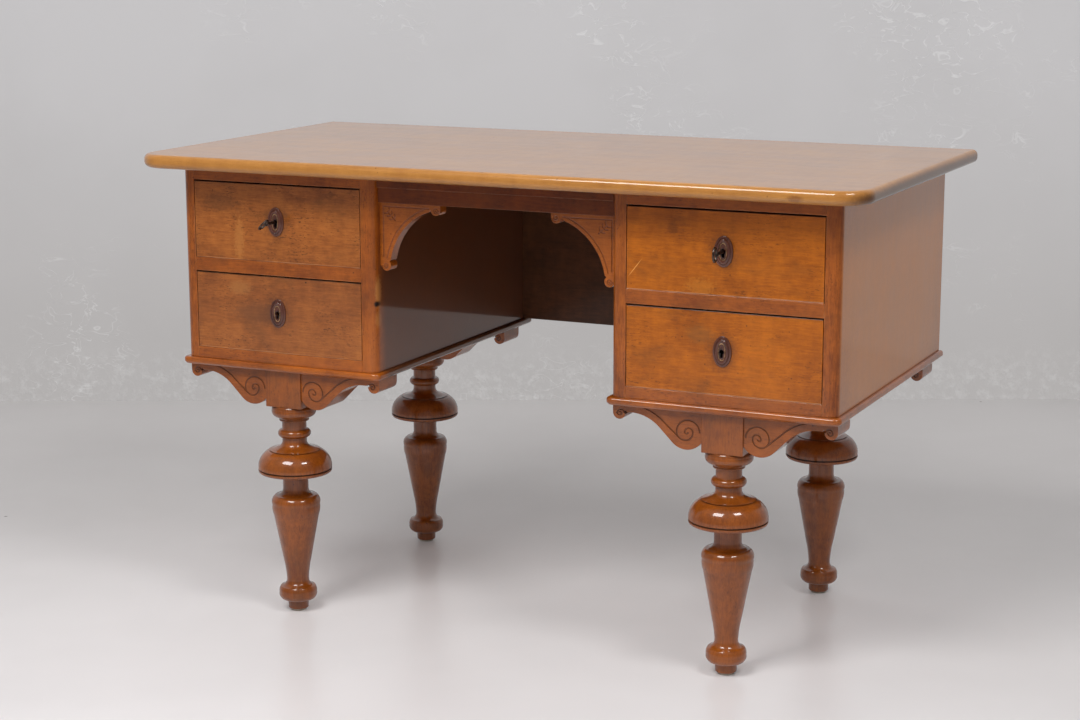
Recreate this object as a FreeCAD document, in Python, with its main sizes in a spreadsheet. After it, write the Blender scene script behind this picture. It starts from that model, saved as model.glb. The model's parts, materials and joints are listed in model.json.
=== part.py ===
import FreeCAD, Part
import math
import os

# A kneehole writing desk on four turned legs, in millimetres.
# X runs to the right, Y to the back and Z up; the origin is on the floor under the middle of the top.

OUTPUT_FOLDER = "parts"

# Driving sizes. Every other size and place is worked out from these.
SIZES = {
    # Whole desk and its top
    "overall_height": "770",
    "top_width": "1234",
    "top_depth": "633",
    "top_thickness": "22",
    "top_corner_radius": "52",
    "top_nose_round": "9.2",
    "front_overhang": "64",
    "side_overhang": "53",
    # Two pedestals
    "pedestal_width": "360",
    "outer_side_thickness": "23",
    "inner_side_thickness": "25",
    "stile_round": "15",
    "top_rail_height": "22",
    "middle_rail_height": "22.5",
    "bottom_rail_height": "18.5",
    "rail_depth": "62",
    "runner_width": "24",
    "back_panel_thickness": "9",
    "back_panel_setback": "3",
    "base_board_thickness": "12",
    "base_board_lip": "7",
    "base_board_round": "4.5",
    "base_board_chamfer": "3.5",
    "base_corner_radius": "12",
    "stop_height": "5",
    "stop_width": "40",
    "stop_depth": "12",
    # Kneehole
    "kneehole_back_thickness": "14",
    "kneehole_back_setback": "8",
    "apron_setback": "10",
    "apron_height": "20",
    "apron_thickness": "20",
    "lower_apron_setback": "14",
    "lower_apron_height": "24",
    "spandrel_setback": "20",
    "spandrel_reach_share": "0.532",
    "spandrel_height": "110",
    "spandrel_thickness": "21",
    "spandrel_scroll": "8.5",
    # Legs and their scrolled brackets
    "leg_height": "417",
    "block_size": "66.5",
    "block_height": "62.5",
    "block_setback": "6.5",
    "back_leg_inset": "68.5",
    "bun_radius": "61.5",
    "tenon_radius": "15",
    "foot_pad_height": "3",
    "foot_pad_radius": "13",
    "bracket_length": "146",
    "bracket_drop": "61.5",
    "bracket_depth": "60",
    "bracket_neck": "12",
    "volute_radius": "31",
    "volute_offset": "26",
    "sweep_radius": "66",
    "scroll_radius": "10.3",
    "scroll_drop": "13.6",
    "spiral_start": "3.2",
    "spiral_drop": "33.7",
    "carved_line_width": "1.6",
    "carved_line_depth": "1.2",
    # Drawers
    "drawer_gap": "1",
    "drawer_top_gap": "2",
    "drawer_seat_gap": "0.3",
    "drawer_back_gap": "14",
    "front_thickness": "22",
    "front_edge_round": "1",
    "drawer_side_thickness": "11",
    "drawer_side_drop": "5",
    "drawer_bottom_thickness": "6",
    "drawer_bottom_rise": "8",
    "groove_depth": "5",
    "tail_length": "15",
    "tail_height": "24",
    "tail_flare": "3",
    # Locks, keyhole plates and keys
    "keyhole_rise": "3",
    "plate_width": "30",
    "plate_height": "47",
    "plate_thickness": "5",
    "plate_step": "4.5",
    "plate_step_depth": "2.5",
    "liner_width": "12",
    "liner_height": "27",
    "liner_thickness": "3",
    "keyhole_round": "3.6",
    "keyhole_slot": "3.6",
    "keyhole_drop": "9",
    "lock_width": "58",
    "lock_depth": "10",
    "lock_drop": "16",
    "lock_wall": "1.6",
    "selvedge_width": "70",
    "selvedge_depth": "15",
    "bolt_width": "24",
    "bolt_thickness": "5",
    "bolt_sink": "2",
    "bolt_travel": "9",
    "bolt_clearance": "0.3",
    "mortise_margin": "1.5",
    "key_stem_radius": "2.7",
    "key_stand_off": "26",
    "bow_length": "17",
    "bow_height": "24",
    "bow_thickness": "3.4",
    "bow_wall": "4",
    "bit_reach": "8",
    "bit_length": "5",
    "bit_thickness": "2.6",
    "left_key_turn": "45",
    # Strips and screws that hold the top
    "screw_radius": "2.2",
    "screw_head_radius": "4.4",
    "screw_head_height": "2.6",
    "screw_bite": "14",
    "screw_end_margin": "60",
}

# Places and lengths that follow from the sizes.
PLACES = {
    "top_underside": "=Sizes.overall_height - Sizes.top_thickness",
    "front_plane": "=Sizes.front_overhang - Sizes.top_depth / 2",
    "back_plane": "=Sizes.top_depth / 2",
    "carcase_depth": "=back_plane - front_plane",
    "carcase_bottom": "=Sizes.leg_height + Sizes.base_board_thickness",
    "carcase_height": "=top_underside - carcase_bottom",
    "outer_face": "=Sizes.top_width / 2 - Sizes.side_overhang",
    "kneehole_face": "=outer_face - Sizes.pedestal_width",
    "pedestal_centre": "=outer_face - Sizes.pedestal_width / 2",
    "opening_width": "=Sizes.pedestal_width - Sizes.outer_side_thickness - Sizes.inner_side_thickness",
    "opening_inner": "=kneehole_face + Sizes.inner_side_thickness",
    "opening_centre": "=opening_inner + opening_width / 2",
    "rails_height": "=Sizes.top_rail_height + Sizes.middle_rail_height + Sizes.bottom_rail_height",
    "opening_height": "=(carcase_height - rails_height) / 2",
    "lower_opening": "=carcase_bottom + Sizes.bottom_rail_height",
    "middle_rail_bottom": "=lower_opening + opening_height",
    "upper_opening": "=middle_rail_bottom + Sizes.middle_rail_height",
    "top_rail_bottom": "=upper_opening + opening_height",
    "rail_back": "=front_plane + Sizes.rail_depth",
    "back_panel_front": "=back_plane - Sizes.back_panel_setback - Sizes.back_panel_thickness",
    "runner_length": "=back_panel_front - rail_back",
    "kneehole_back_front": "=back_plane - Sizes.kneehole_back_setback - Sizes.kneehole_back_thickness",
    "apron_bottom": "=top_underside - Sizes.apron_height",
    "lower_apron_bottom": "=apron_bottom - Sizes.lower_apron_height",
    "spandrel_width": "=kneehole_face * Sizes.spandrel_reach_share",
    "block_bottom": "=Sizes.leg_height - Sizes.block_height",
    "front_leg_centre": "=front_plane + Sizes.block_setback + Sizes.block_size / 2",
    "back_leg_centre": "=back_plane - Sizes.back_leg_inset",
    "drawer_width": "=opening_width - 2 * Sizes.drawer_gap",
    "drawer_front_height": "=opening_height - Sizes.drawer_top_gap - Sizes.drawer_seat_gap",
    "drawer_side_height": "=drawer_front_height - Sizes.drawer_side_drop",
    "drawer_length": "=back_panel_front - Sizes.drawer_back_gap - front_plane",
    "drawer_side_length": "=drawer_length - Sizes.front_thickness",
    "drawer_back_bottom": "=Sizes.drawer_bottom_rise + Sizes.drawer_bottom_thickness",
    "drawer_inner_width": "=drawer_width - 2 * Sizes.drawer_side_thickness",
    "keyhole_height": "=drawer_front_height / 2 + Sizes.keyhole_rise",
    "lock_height": "=drawer_front_height - keyhole_height + Sizes.lock_drop",
    "bolt_bottom": "=keyhole_height + Sizes.bit_reach + Sizes.bolt_clearance",
    "bolt_height": "=drawer_front_height - Sizes.bolt_sink - bolt_bottom",
    "mortise_depth": "=Sizes.bolt_travel - Sizes.bolt_sink - Sizes.drawer_top_gap + Sizes.mortise_margin",
    "bolt_slot_width": "=Sizes.bolt_width + 2 * Sizes.bolt_clearance",
    "bolt_slot_thickness": "=Sizes.bolt_thickness + 2 * Sizes.bolt_clearance",
    "bolt_front": "=Sizes.front_thickness - Sizes.lock_depth + Sizes.lock_wall + Sizes.bolt_clearance",
    "mortise_width": "=Sizes.bolt_width + 2 * Sizes.mortise_margin",
    "mortise_thickness": "=Sizes.bolt_thickness + 2 * Sizes.mortise_margin",
    "bottom_panel_width": "=drawer_inner_width + 2 * Sizes.groove_depth",
    "bottom_panel_length": "=drawer_side_length + Sizes.groove_depth",
    "screw_length": "=Sizes.top_rail_height + Sizes.screw_bite",
}

# Turned profile from the foot to the block: height as a share of the turned height, radius as a share
# of the bun's radius, and the swell of the stretch that ends there as a share of its length.
TURNING_SHARES = (
    (0.0, 0.237, 0),
    (0.0063, 0.276, 0.15),
    (0.0415, 0.283, 0),
    (0.0432, 0.333, 0),
    (0.0811, 0.515, 0.25),
    (0.1118, 0.470, 0.1),
    (0.1127, 0.454, 0),
    (0.1408, 0.302, -0.16),
    (0.1536, 0.302, 0),
    (0.2418, 0.374, -0.02),
    (0.4637, 0.615, 0),
    (0.5164, 0.649, 0.06),
    (0.5593, 0.579, 0.16),
    (0.5616, 0.556, 0),
    (0.5974, 0.348, -0.24),
    (0.6703, 0.345, 0),
    (0.6725, 0.933, 0),
    (0.689, 0.997, 0.22),
    (0.6905, 0.969, 0),
    (0.6945, 0.969, 0),
    (0.6959, 1.000, 0),
    (0.7812, 0.715, 0.15),
    (0.7838, 0.683, 0),
    (0.796, 0.468, -0.04),
    (0.8265, 0.333, -0.18),
    (0.8432, 0.330, 0),
    (0.8447, 0.380, 0),
    (0.8808, 0.380, 0.32),
    (0.8822, 0.330, 0),
    (0.9212, 0.330, 0),
    (0.9235, 0.377, 0),
    (0.9337, 0.397, 0.3),
    (0.9451, 0.504, -0.16),
    (0.9474, 0.527, 0),
    (0.9804, 0.597, 0.17),
    (1.0, 0.559, 0.12),
)

# Corner bracket of the kneehole: where its carved outline runs, in widths of its small scrolls.
SPANDREL_TIP_SHARES = {
    "scroll_end_out": 1.94,
    "scroll_end_down": 1.34,
    "notch_out": 2.10,
    "notch_down": 1.02,
    "arch_out": 2.36,
    "arch_down": 1.36,
}
SPANDREL_FOOT_SHARES = {
    "centre_out": 1.25,
    "scroll_start_out": 2.12,
    "scroll_start_up": 1.50,
    "notch_out": 1.84,
    "notch_up": 1.84,
    "arch_out": 2.18,
    "arch_up": 2.05,
}
ARCH_SWELL_SHARE = 0.14

# Spiral of a carved volute: radii of its half turns as shares of the volute's radius, from the outside in.
SPIRAL_RADIUS_SHARES = (0.606, 0.426, 0.213, 0.087)

# Heights of the drawer side's tails as shares of its height.
TAIL_PLACE_SHARES = (0.18, 0.50, 0.82)

# Places of the screws along a strip, as shares of the stretch between the end margins.
SCREW_PLACE_SHARES = (0.0, 0.5, 1.0)

# Turn of a bracket's sweep between its sloping and its level stretch.
SWEEP_DEGREES = 45

SIDES = {"left": -1, "right": 1}

# Edges whose places differ by less than this lie at the same place.
SAME_PLACE = 0.001

UP = FreeCAD.Vector(0, 0, 1)
BACKWARD = FreeCAD.Vector(0, 1, 0)
RIGHTWARD = FreeCAD.Vector(1, 0, 0)

doc = FreeCAD.newDocument("Desk")


def make_sheet(name, entries):
    """Fill a spreadsheet with one named cell for each entry."""
    sheet = doc.addObject("Spreadsheet::Sheet", name)
    for row, (alias, content) in enumerate(entries.items(), start=1):
        sheet.set("A%d" % row, alias)
        sheet.set("B%d" % row, content)
        sheet.setAlias("B%d" % row, alias)
    doc.recompute()
    return sheet


sizes = make_sheet("Sizes", SIZES)
places = make_sheet("Places", PLACES)
parts = []


def size(alias):
    """Read one driving size."""
    return float(sizes.get(alias))


def place(alias):
    """Read one derived place or length."""
    return float(places.get(alias))


def bind(thing, properties):
    """Tie properties of a document object to expressions."""
    for name, expression in properties.items():
        thing.setExpression(name, expression)


def put(thing, corner):
    """Tie an object's place to three expressions."""
    bind(thing, dict(zip(("Placement.Base.x", "Placement.Base.y", "Placement.Base.z"), corner)))


def keep(thing, label):
    """Give a finished piece its name and list it for writing."""
    thing.Label = label
    parts.append(thing)
    return thing


def new_object(kind, name, properties):
    """Add one document object with bound properties."""
    thing = doc.addObject(kind, name)
    bind(thing, properties)
    return thing


def board(name, lengths, corner):
    """A plain rectangular board."""
    box = new_object("Part::Box", name, dict(zip(("Length", "Width", "Height"), lengths)))
    put(box, corner)
    return box


def rod(name, radius, length, base, axis=UP):
    """A round rod from a base point along an axis."""
    cylinder = new_object("Part::Cylinder", name, {"Radius": radius, "Height": length})
    turn = FreeCAD.Rotation(UP, axis)
    cylinder.Placement = FreeCAD.Placement(FreeCAD.Vector(0, 0, 0), turn)
    put(cylinder, base)
    return cylinder


def fuse(name, pieces):
    """Join pieces that are one solid."""
    joined = doc.addObject("Part::MultiFuse", name)
    joined.Shapes = pieces
    joined.Refine = True
    return joined


def cut(name, base, tools):
    """Take one or more tools out of a piece."""
    result = doc.addObject("Part::Cut", name)
    result.Base = base
    result.Tool = tools[0] if len(tools) == 1 else fuse(name + "_tools", tools)
    result.Refine = True
    return result


def group(name, pieces):
    """Hold separate solids as one node."""
    compound = doc.addObject("Part::Compound", name)
    compound.Links = pieces
    return compound


def start_body(name):
    """Start a body for a piece that is shaped step by step."""
    return doc.addObject("PartDesign::Body", name)


def plane_of(body, role):
    """Find one of a body's origin planes."""
    return next(item for item in body.Origin.OriginFeatures if item.Role == role)


def sketch_on(body, role, name, curves):
    """Draw closed curves on an origin plane of a body."""
    sketch = body.newObject("Sketcher::SketchObject", name)
    sketch.AttachmentSupport = (plane_of(body, role), "")
    sketch.MapMode = "FlatFace"
    for curve in curves:
        sketch.addGeometry(curve, False)
    doc.recompute()
    return sketch


def point(across, up):
    """A point of a flat outline."""
    return FreeCAD.Vector(across, up, 0)


def outline(stations):
    """Join stations with lines and arcs; each holds its point and the middle of its arc, or nothing."""
    curves = []
    for index, (start, _) in enumerate(stations):
        end, middle = stations[(index + 1) % len(stations)]
        if middle is None:
            curves.append(Part.LineSegment(start, end))
        else:
            curves.append(Part.Arc(start, middle, end))
    return curves


def swell_middle(start, end, swell_share):
    """Middle of an arc that swells to the right of the way from start to end."""
    chord = end - start
    middle = (start + end) * 0.5
    return middle + FreeCAD.Vector(chord.y, -chord.x, 0) * swell_share


def circle_point(centre, radius, degrees):
    """A point on a circle, counted from the first axis towards the second."""
    angle = math.radians(degrees)
    return centre + point(radius * math.cos(angle), radius * math.sin(angle))


def arc_through(centre, radius, start_degrees, end_degrees):
    """Stations for an arc: its start, and its end with the arc's middle."""
    middle = circle_point(centre, radius, (start_degrees + end_degrees) / 2)
    start = circle_point(centre, radius, start_degrees)
    end = circle_point(centre, radius, end_degrees)
    return start, end, middle


def edges_where(shape, test):
    """Names of the edges of a shape that pass a test."""
    return ["Edge%d" % number for number, edge in enumerate(shape.Edges, start=1) if test(edge)]


def dress_edges(body, base, kind, name, amount_property, amount, test):
    """Round or chamfer the edges of a body's feature that pass a test."""
    doc.recompute()
    feature = body.newObject(kind, name)
    feature.Base = (base, edges_where(base.Shape, test))
    feature.setExpression(amount_property, amount)
    doc.recompute()
    return feature


def padded(body, sketch, name, length):
    """Raise a solid from a sketch."""
    pad = body.newObject("PartDesign::Pad", name)
    pad.Profile = sketch
    pad.setExpression("Length", length)
    doc.recompute()
    return pad


def is_level(edge, height):
    """Whether an edge lies flat at a height."""
    box = edge.BoundBox
    return abs(box.ZMin - height) < SAME_PLACE and abs(box.ZMax - height) < SAME_PLACE


def is_upright(edge):
    """Whether an edge stands upright."""
    box = edge.BoundBox
    return box.XLength < SAME_PLACE and box.YLength < SAME_PLACE


def make_top():
    """The writing top: square at the back, round corners and a soft nose on the other edges."""
    half_width = size("top_width") / 2
    front = -size("top_depth") / 2
    back = size("top_depth") / 2
    radius = size("top_corner_radius")
    left_centre = point(-half_width + radius, front + radius)
    right_centre = point(half_width - radius, front + radius)
    left_start, left_end, left_middle = arc_through(left_centre, radius, 180, 270)
    right_start, right_end, right_middle = arc_through(right_centre, radius, 270, 360)
    curves = outline([
        (point(half_width, back), None),
        (point(-half_width, back), None),
        (left_start, None),
        (left_end, left_middle),
        (right_start, None),
        (right_end, right_middle),
    ])
    body = start_body("TopBody")
    pad = padded(body, sketch_on(body, "XY_Plane", "TopOutline", curves), "TopSlab", "Sizes.top_thickness")
    thickness = size("top_thickness")

    def on_nose(edge):
        level = is_level(edge, 0) or is_level(edge, thickness)
        return level and edge.BoundBox.YMin < back - SAME_PLACE
    dress_edges(body, pad, "PartDesign::Fillet", "TopNose", "Radius", "Sizes.top_nose_round", on_nose)
    put(body, ("0", "0", "Places.top_underside"))
    keep(body, "table_top")


def make_side(label, left_expression, thickness, rounded_x):
    """A pedestal side whose front edge is the stile, with one rounded corner."""
    body = start_body(label + "_body")
    slab = body.newObject("PartDesign::AdditiveBox", label + "_slab")
    bind(slab, {"Length": thickness, "Width": "Places.carcase_depth", "Height": "Places.carcase_height"})
    thick = size(thickness.split(".")[1])

    def on_corner(edge):
        box = edge.BoundBox
        at_corner = abs(box.YMin) < SAME_PLACE and abs(box.XMin - rounded_x * thick) < SAME_PLACE
        return is_upright(edge) and at_corner
    dress_edges(
        body, slab, "PartDesign::Fillet", label + "_round", "Radius", "Sizes.stile_round", on_corner)
    put(body, (left_expression, "Places.front_plane", "Places.carcase_bottom"))
    keep(body, label)


def make_sides():
    """Four pedestal sides; the corner away from the drawers is rounded."""
    make_side("left_outer_side", "-Places.outer_face", "Sizes.outer_side_thickness", 0)
    make_side("left_inner_side", "-Places.opening_inner", "Sizes.inner_side_thickness", 1)
    make_side("right_inner_side", "Places.kneehole_face", "Sizes.inner_side_thickness", 0)
    outer_left = "Places.opening_inner + Places.opening_width"
    make_side("right_outer_side", outer_left, "Sizes.outer_side_thickness", 1)


def opening_left(side):
    """Expression for the left edge of a pedestal's drawer openings."""
    if side < 0:
        return "-Places.opening_inner - Places.opening_width"
    return "Places.opening_inner"


def make_rail(label, side, height, bottom, mortised):
    """A front rail between the sides, with a mortise under it where a lock bolt rises."""
    corner = (opening_left(side), "Places.front_plane", bottom)
    rail = board(label + "_board", ("Places.opening_width", "Sizes.rail_depth", height), corner)
    if mortised:
        mortise = board(
            label + "_mortise",
            ("Places.mortise_width", "Places.mortise_thickness", "Places.mortise_depth"),
            (
                "%s * Places.opening_centre - Places.mortise_width / 2" % side,
                "Places.front_plane + Places.bolt_front - Sizes.mortise_margin",
                bottom,
            ),
        )
        rail = cut(label + "_cut", rail, [mortise])
    keep(rail, label)


def make_rails(name, side):
    """Three front rails of one pedestal."""
    make_rail(name + "_top_rail", side, "Sizes.top_rail_height", "Places.top_rail_bottom", True)
    make_rail(name + "_middle_rail", side, "Sizes.middle_rail_height", "Places.middle_rail_bottom", True)
    make_rail(name + "_bottom_rail", side, "Sizes.bottom_rail_height", "Places.carcase_bottom", False)


def strip_lefts(side):
    """Expressions for the left edges of the two strips along a pedestal's sides."""
    left = opening_left(side)
    return left, left + " + Places.opening_width - Sizes.runner_width"


def make_runners(name, side):
    """Strips behind the rails that carry the two drawers."""
    levels = (
        ("Places.carcase_bottom", "Sizes.bottom_rail_height"),
        ("Places.middle_rail_bottom", "Sizes.middle_rail_height"),
    )
    strips = []
    for level, (bottom, height) in enumerate(levels):
        for number, left in enumerate(strip_lefts(side)):
            strips.append(board(
                "%s_runner_%d_%d" % (name, level, number),
                ("Sizes.runner_width", "Places.runner_length", height),
                (left, "Places.rail_back", bottom),
            ))
    keep(group(name + "_runner_group", strips), name + "_drawer_runners")


def make_top_strips():
    """Strips under the top that keep the upper drawers level, and the screws through them."""
    strips = []
    screws = []
    for name, side in SIDES.items():
        for number, left in enumerate(strip_lefts(side)):
            strips.append(board(
                "%s_kicker_%d" % (name, number),
                ("Sizes.runner_width", "Places.runner_length", "Sizes.top_rail_height"),
                (left, "Places.rail_back", "Places.top_rail_bottom"),
            ))
            for index, share in enumerate(SCREW_PLACE_SHARES):
                along = "Places.rail_back + Sizes.screw_end_margin"
                along += " + %g * (Places.runner_length - 2 * Sizes.screw_end_margin)" % share
                where = (left + " + Sizes.runner_width / 2", along, "Places.top_rail_bottom")
                tag = "%s_screw_%d_%d" % (name, number, index)
                shank = rod(tag + "_shank", "Sizes.screw_radius", "Places.screw_length", where)
                head = new_object("Part::Cone", tag + "_head", {
                    "Radius1": "Sizes.screw_head_radius",
                    "Radius2": "Sizes.screw_radius",
                    "Height": "Sizes.screw_head_height",
                })
                put(head, where)
                screws.append(fuse(tag, [shank, head]))
    keep(group("kicker_group", strips), "top_fixing_strips")
    keep(group("screw_group", screws), "top_screws")


def make_stops():
    """Blocks on the rails that stop each drawer flush with the pedestal."""
    blocks = []
    for name, side in SIDES.items():
        for level, bottom in enumerate(("Places.lower_opening", "Places.upper_opening")):
            blocks.append(board(
                "%s_stop_%d" % (name, level),
                ("Sizes.stop_width", "Sizes.stop_depth", "Sizes.stop_height"),
                (
                    "%s * Places.opening_centre - Sizes.stop_width / 2" % side,
                    "Places.front_plane + Sizes.front_thickness + Sizes.drawer_seat_gap",
                    bottom,
                ),
            ))
    keep(group("stop_group", blocks), "drawer_stops")


def make_backs():
    """Thin backs of the pedestals and the panel behind the kneehole."""
    for name, side in SIDES.items():
        keep(board(
            name + "_back",
            ("Places.opening_width", "Sizes.back_panel_thickness", "Places.carcase_height"),
            (opening_left(side), "Places.back_panel_front", "Places.carcase_bottom"),
        ), name + "_back_panel")
    keep(board(
        "kneehole_back",
        ("2 * Places.kneehole_face", "Sizes.kneehole_back_thickness", "Places.carcase_height"),
        ("-Places.kneehole_face", "Places.kneehole_back_front", "Places.carcase_bottom"),
    ), "kneehole_back_panel")


def make_aprons():
    """Two stepped rails over the kneehole."""
    keep(board(
        "apron",
        ("2 * Places.kneehole_face", "Sizes.apron_thickness", "Sizes.apron_height"),
        ("-Places.kneehole_face", "Places.front_plane + Sizes.apron_setback", "Places.apron_bottom"),
    ), "kneehole_upper_rail")
    keep(board(
        "lower_apron",
        ("2 * Places.kneehole_face", "Sizes.apron_thickness", "Sizes.lower_apron_height"),
        (
            "-Places.kneehole_face",
            "Places.front_plane + Sizes.lower_apron_setback",
            "Places.lower_apron_bottom",
        ),
    ), "kneehole_lower_rail")


def make_base_board(name, side):
    """The moulded board under a pedestal, with a round hole for each leg's tenon."""
    lip = size("base_board_lip")
    left = place("kneehole_face") - lip
    right = place("outer_face") + lip
    if side < 0:
        left, right = -right, -left
    front = place("front_plane") - lip
    back = place("back_plane")
    radius = size("base_corner_radius")
    left_centre = point(left + radius, front + radius)
    right_centre = point(right - radius, front + radius)
    left_start, left_end, left_middle = arc_through(left_centre, radius, 180, 270)
    right_start, right_end, right_middle = arc_through(right_centre, radius, 270, 360)
    curves = outline([
        (point(right, back), None),
        (point(left, back), None),
        (left_start, None),
        (left_end, left_middle),
        (right_start, None),
        (right_end, right_middle),
    ])
    for leg_centre in (place("front_leg_centre"), place("back_leg_centre")):
        centre = FreeCAD.Vector(side * place("pedestal_centre"), leg_centre, 0)
        curves.append(Part.Circle(centre, UP, size("tenon_radius")))
    label = name + "_base_board"
    body = start_body(label + "_body")
    sketch = sketch_on(body, "XY_Plane", label + "_outline", curves)
    pad = padded(body, sketch, label + "_slab", "Sizes.base_board_thickness")
    thickness = size("base_board_thickness")

    def on_rim(edge, height):
        return is_level(edge, height) and edge.BoundBox.YMin < back - SAME_PLACE and not edge.isClosed()

    def on_upper_rim(edge):
        return on_rim(edge, thickness)

    def on_lower_rim(edge):
        return on_rim(edge, 0)
    rounded = dress_edges(
        body, pad, "PartDesign::Fillet", label + "_round", "Radius",
        "Sizes.base_board_round", on_upper_rim)
    dress_edges(
        body, rounded, "PartDesign::Chamfer", label + "_chamfer", "Size",
        "Sizes.base_board_chamfer", on_lower_rim)
    put(body, ("0", "0", "Sizes.leg_height"))
    keep(body, label)


def spandrel_stations(side):
    """Outline of a kneehole corner bracket: two scrolls and the arch between them."""
    width = place("spandrel_width")
    height = size("spandrel_height")
    scroll = size("spandrel_scroll")
    tip = SPANDREL_TIP_SHARES
    foot = SPANDREL_FOOT_SHARES

    def at(out, down):
        return point(-side * out, -down)
    tip_centre_out = width - scroll
    foot_centre_out = foot["centre_out"] * scroll
    arch_start = at(width - tip["arch_out"] * scroll, tip["arch_down"] * scroll)
    arch_end = at(foot["arch_out"] * scroll, height - foot["arch_up"] * scroll)
    arch_middle = swell_middle(arch_start, arch_end, side * ARCH_SWELL_SHARE)
    return [
        (at(0, 0), None),
        (at(width, 0), None),
        (at(width, scroll), None),
        (at(width - tip["scroll_end_out"] * scroll, tip["scroll_end_down"] * scroll),
         at(tip_centre_out, 2 * scroll)),
        (at(width - tip["notch_out"] * scroll, tip["notch_down"] * scroll), None),
        (arch_start, None),
        (arch_end, arch_middle),
        (at(foot["notch_out"] * scroll, height - foot["notch_up"] * scroll), None),
        (at(foot["scroll_start_out"] * scroll, height - foot["scroll_start_up"] * scroll), None),
        (at(foot_centre_out - scroll, height - scroll), at(foot_centre_out, height)),
        (at(0, height - scroll), None),
    ]


def make_spandrel(name, side):
    """A carved bracket in an upper corner of the kneehole."""
    label = name + "_spandrel"
    body = start_body(label + "_body")
    sketch = sketch_on(body, "XZ_Plane", label + "_outline", outline(spandrel_stations(side)))
    pad = padded(body, sketch, label + "_slab", "Sizes.spandrel_thickness")
    pad.Reversed = True
    put(body, (
        "%s * Places.kneehole_face" % side,
        "Places.front_plane + Sizes.spandrel_setback",
        "Places.lower_apron_bottom",
    ))
    keep(body, label)


def turning_stations():
    """Half profile of a leg's turning, closed along its axis."""
    low = size("foot_pad_height")
    high = place("block_bottom")
    radius = size("bun_radius")
    knots = [(point(radius * out, low + (high - low) * up), swell) for up, out, swell in TURNING_SHARES]
    foot = knots[0][0]
    stations = [(point(0, foot.y), None), (foot, None)]
    for (start, _), (end, swell) in zip(knots, knots[1:]):
        stations.append((end, swell_middle(start, end, swell) if swell else None))
    stations.append((point(0, high), None))
    return stations


def make_leg(label, side, leg_centre):
    """A turned leg with its square block and the round tenon that enters the base board."""
    body = start_body(label + "_body")
    sketch = sketch_on(body, "XZ_Plane", label + "_profile", outline(turning_stations()))
    turning = body.newObject("PartDesign::Revolution", label + "_turning")
    turning.Profile = sketch
    turning.ReferenceAxis = (sketch, ["V_Axis"])
    block = body.newObject("PartDesign::AdditiveBox", label + "_block")
    bind(block, {"Length": "Sizes.block_size", "Width": "Sizes.block_size", "Height": "Sizes.block_height"})
    put(block, ("-Sizes.block_size / 2", "-Sizes.block_size / 2", "Places.block_bottom"))
    tenon = body.newObject("PartDesign::AdditiveCylinder", label + "_tenon")
    bind(tenon, {"Radius": "Sizes.tenon_radius", "Height": "Sizes.base_board_thickness"})
    put(tenon, ("0", "0", "Sizes.leg_height"))
    put(body, ("%s * Places.pedestal_centre" % side, leg_centre, "0"))
    doc.recompute()
    keep(body, label)


def bracket_stations(hand):
    """Outline of a leg bracket: volute lobe at the block, swept neck and small scroll at the tip."""
    length = size("bracket_length")
    drop = size("bracket_drop")
    neck = size("bracket_neck")
    volute = size("volute_radius")
    sweep = size("sweep_radius")
    scroll = size("scroll_radius")
    scroll_down = size("scroll_drop")
    slope_share = math.sin(math.radians(SWEEP_DEGREES))
    lobe_out = size("volute_offset")
    lobe_down = drop - volute
    lobe_end_out = lobe_out + volute * slope_share
    lobe_end_down = lobe_down + volute * slope_share
    slope_sum = lobe_end_out + lobe_end_down
    sweep_end_out = slope_sum - neck - sweep * (1 - 2 * slope_share)
    sweep_start_out = sweep_end_out - sweep * slope_share
    sweep_start_down = slope_sum - sweep_start_out
    sweep_middle_out = sweep_end_out - sweep * math.sin(math.radians(SWEEP_DEGREES / 2))
    sweep_middle_down = neck + sweep * (1 - math.cos(math.radians(SWEEP_DEGREES / 2)))
    scroll_start_out = length - scroll - math.sqrt(scroll ** 2 - (scroll_down - neck) ** 2)

    def at(out, down):
        return point(hand * out, -down)
    return [
        (at(0, 0), None),
        (at(length, 0), None),
        (at(length, scroll_down), None),
        (at(scroll_start_out, neck), at(length - scroll, scroll_down + scroll)),
        (at(sweep_end_out, neck), None),
        (at(sweep_start_out, sweep_start_down), at(sweep_middle_out, sweep_middle_down)),
        (at(lobe_end_out, lobe_end_down), None),
        (at(0, lobe_down + math.sqrt(volute ** 2 - lobe_out ** 2)), at(lobe_out, drop)),
    ]


def volute_line(hand):
    """The line of a volute's spiral: half turns that start beside the block and shrink inwards."""
    volute = size("volute_radius")
    radii = [volute * share for share in SPIRAL_RADIUS_SHARES]
    knot = point(hand * size("spiral_start"), -size("spiral_drop"))
    reach = hand
    rise = 1
    arcs = []
    for radius in radii:
        end = knot + point(2 * reach * radius, 0)
        crown = knot + point(reach * radius, rise * radius)
        arcs.append(Part.Arc(knot, crown, end).toShape())
        knot = end
        reach = -reach
        rise = -rise
    return arcs


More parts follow.
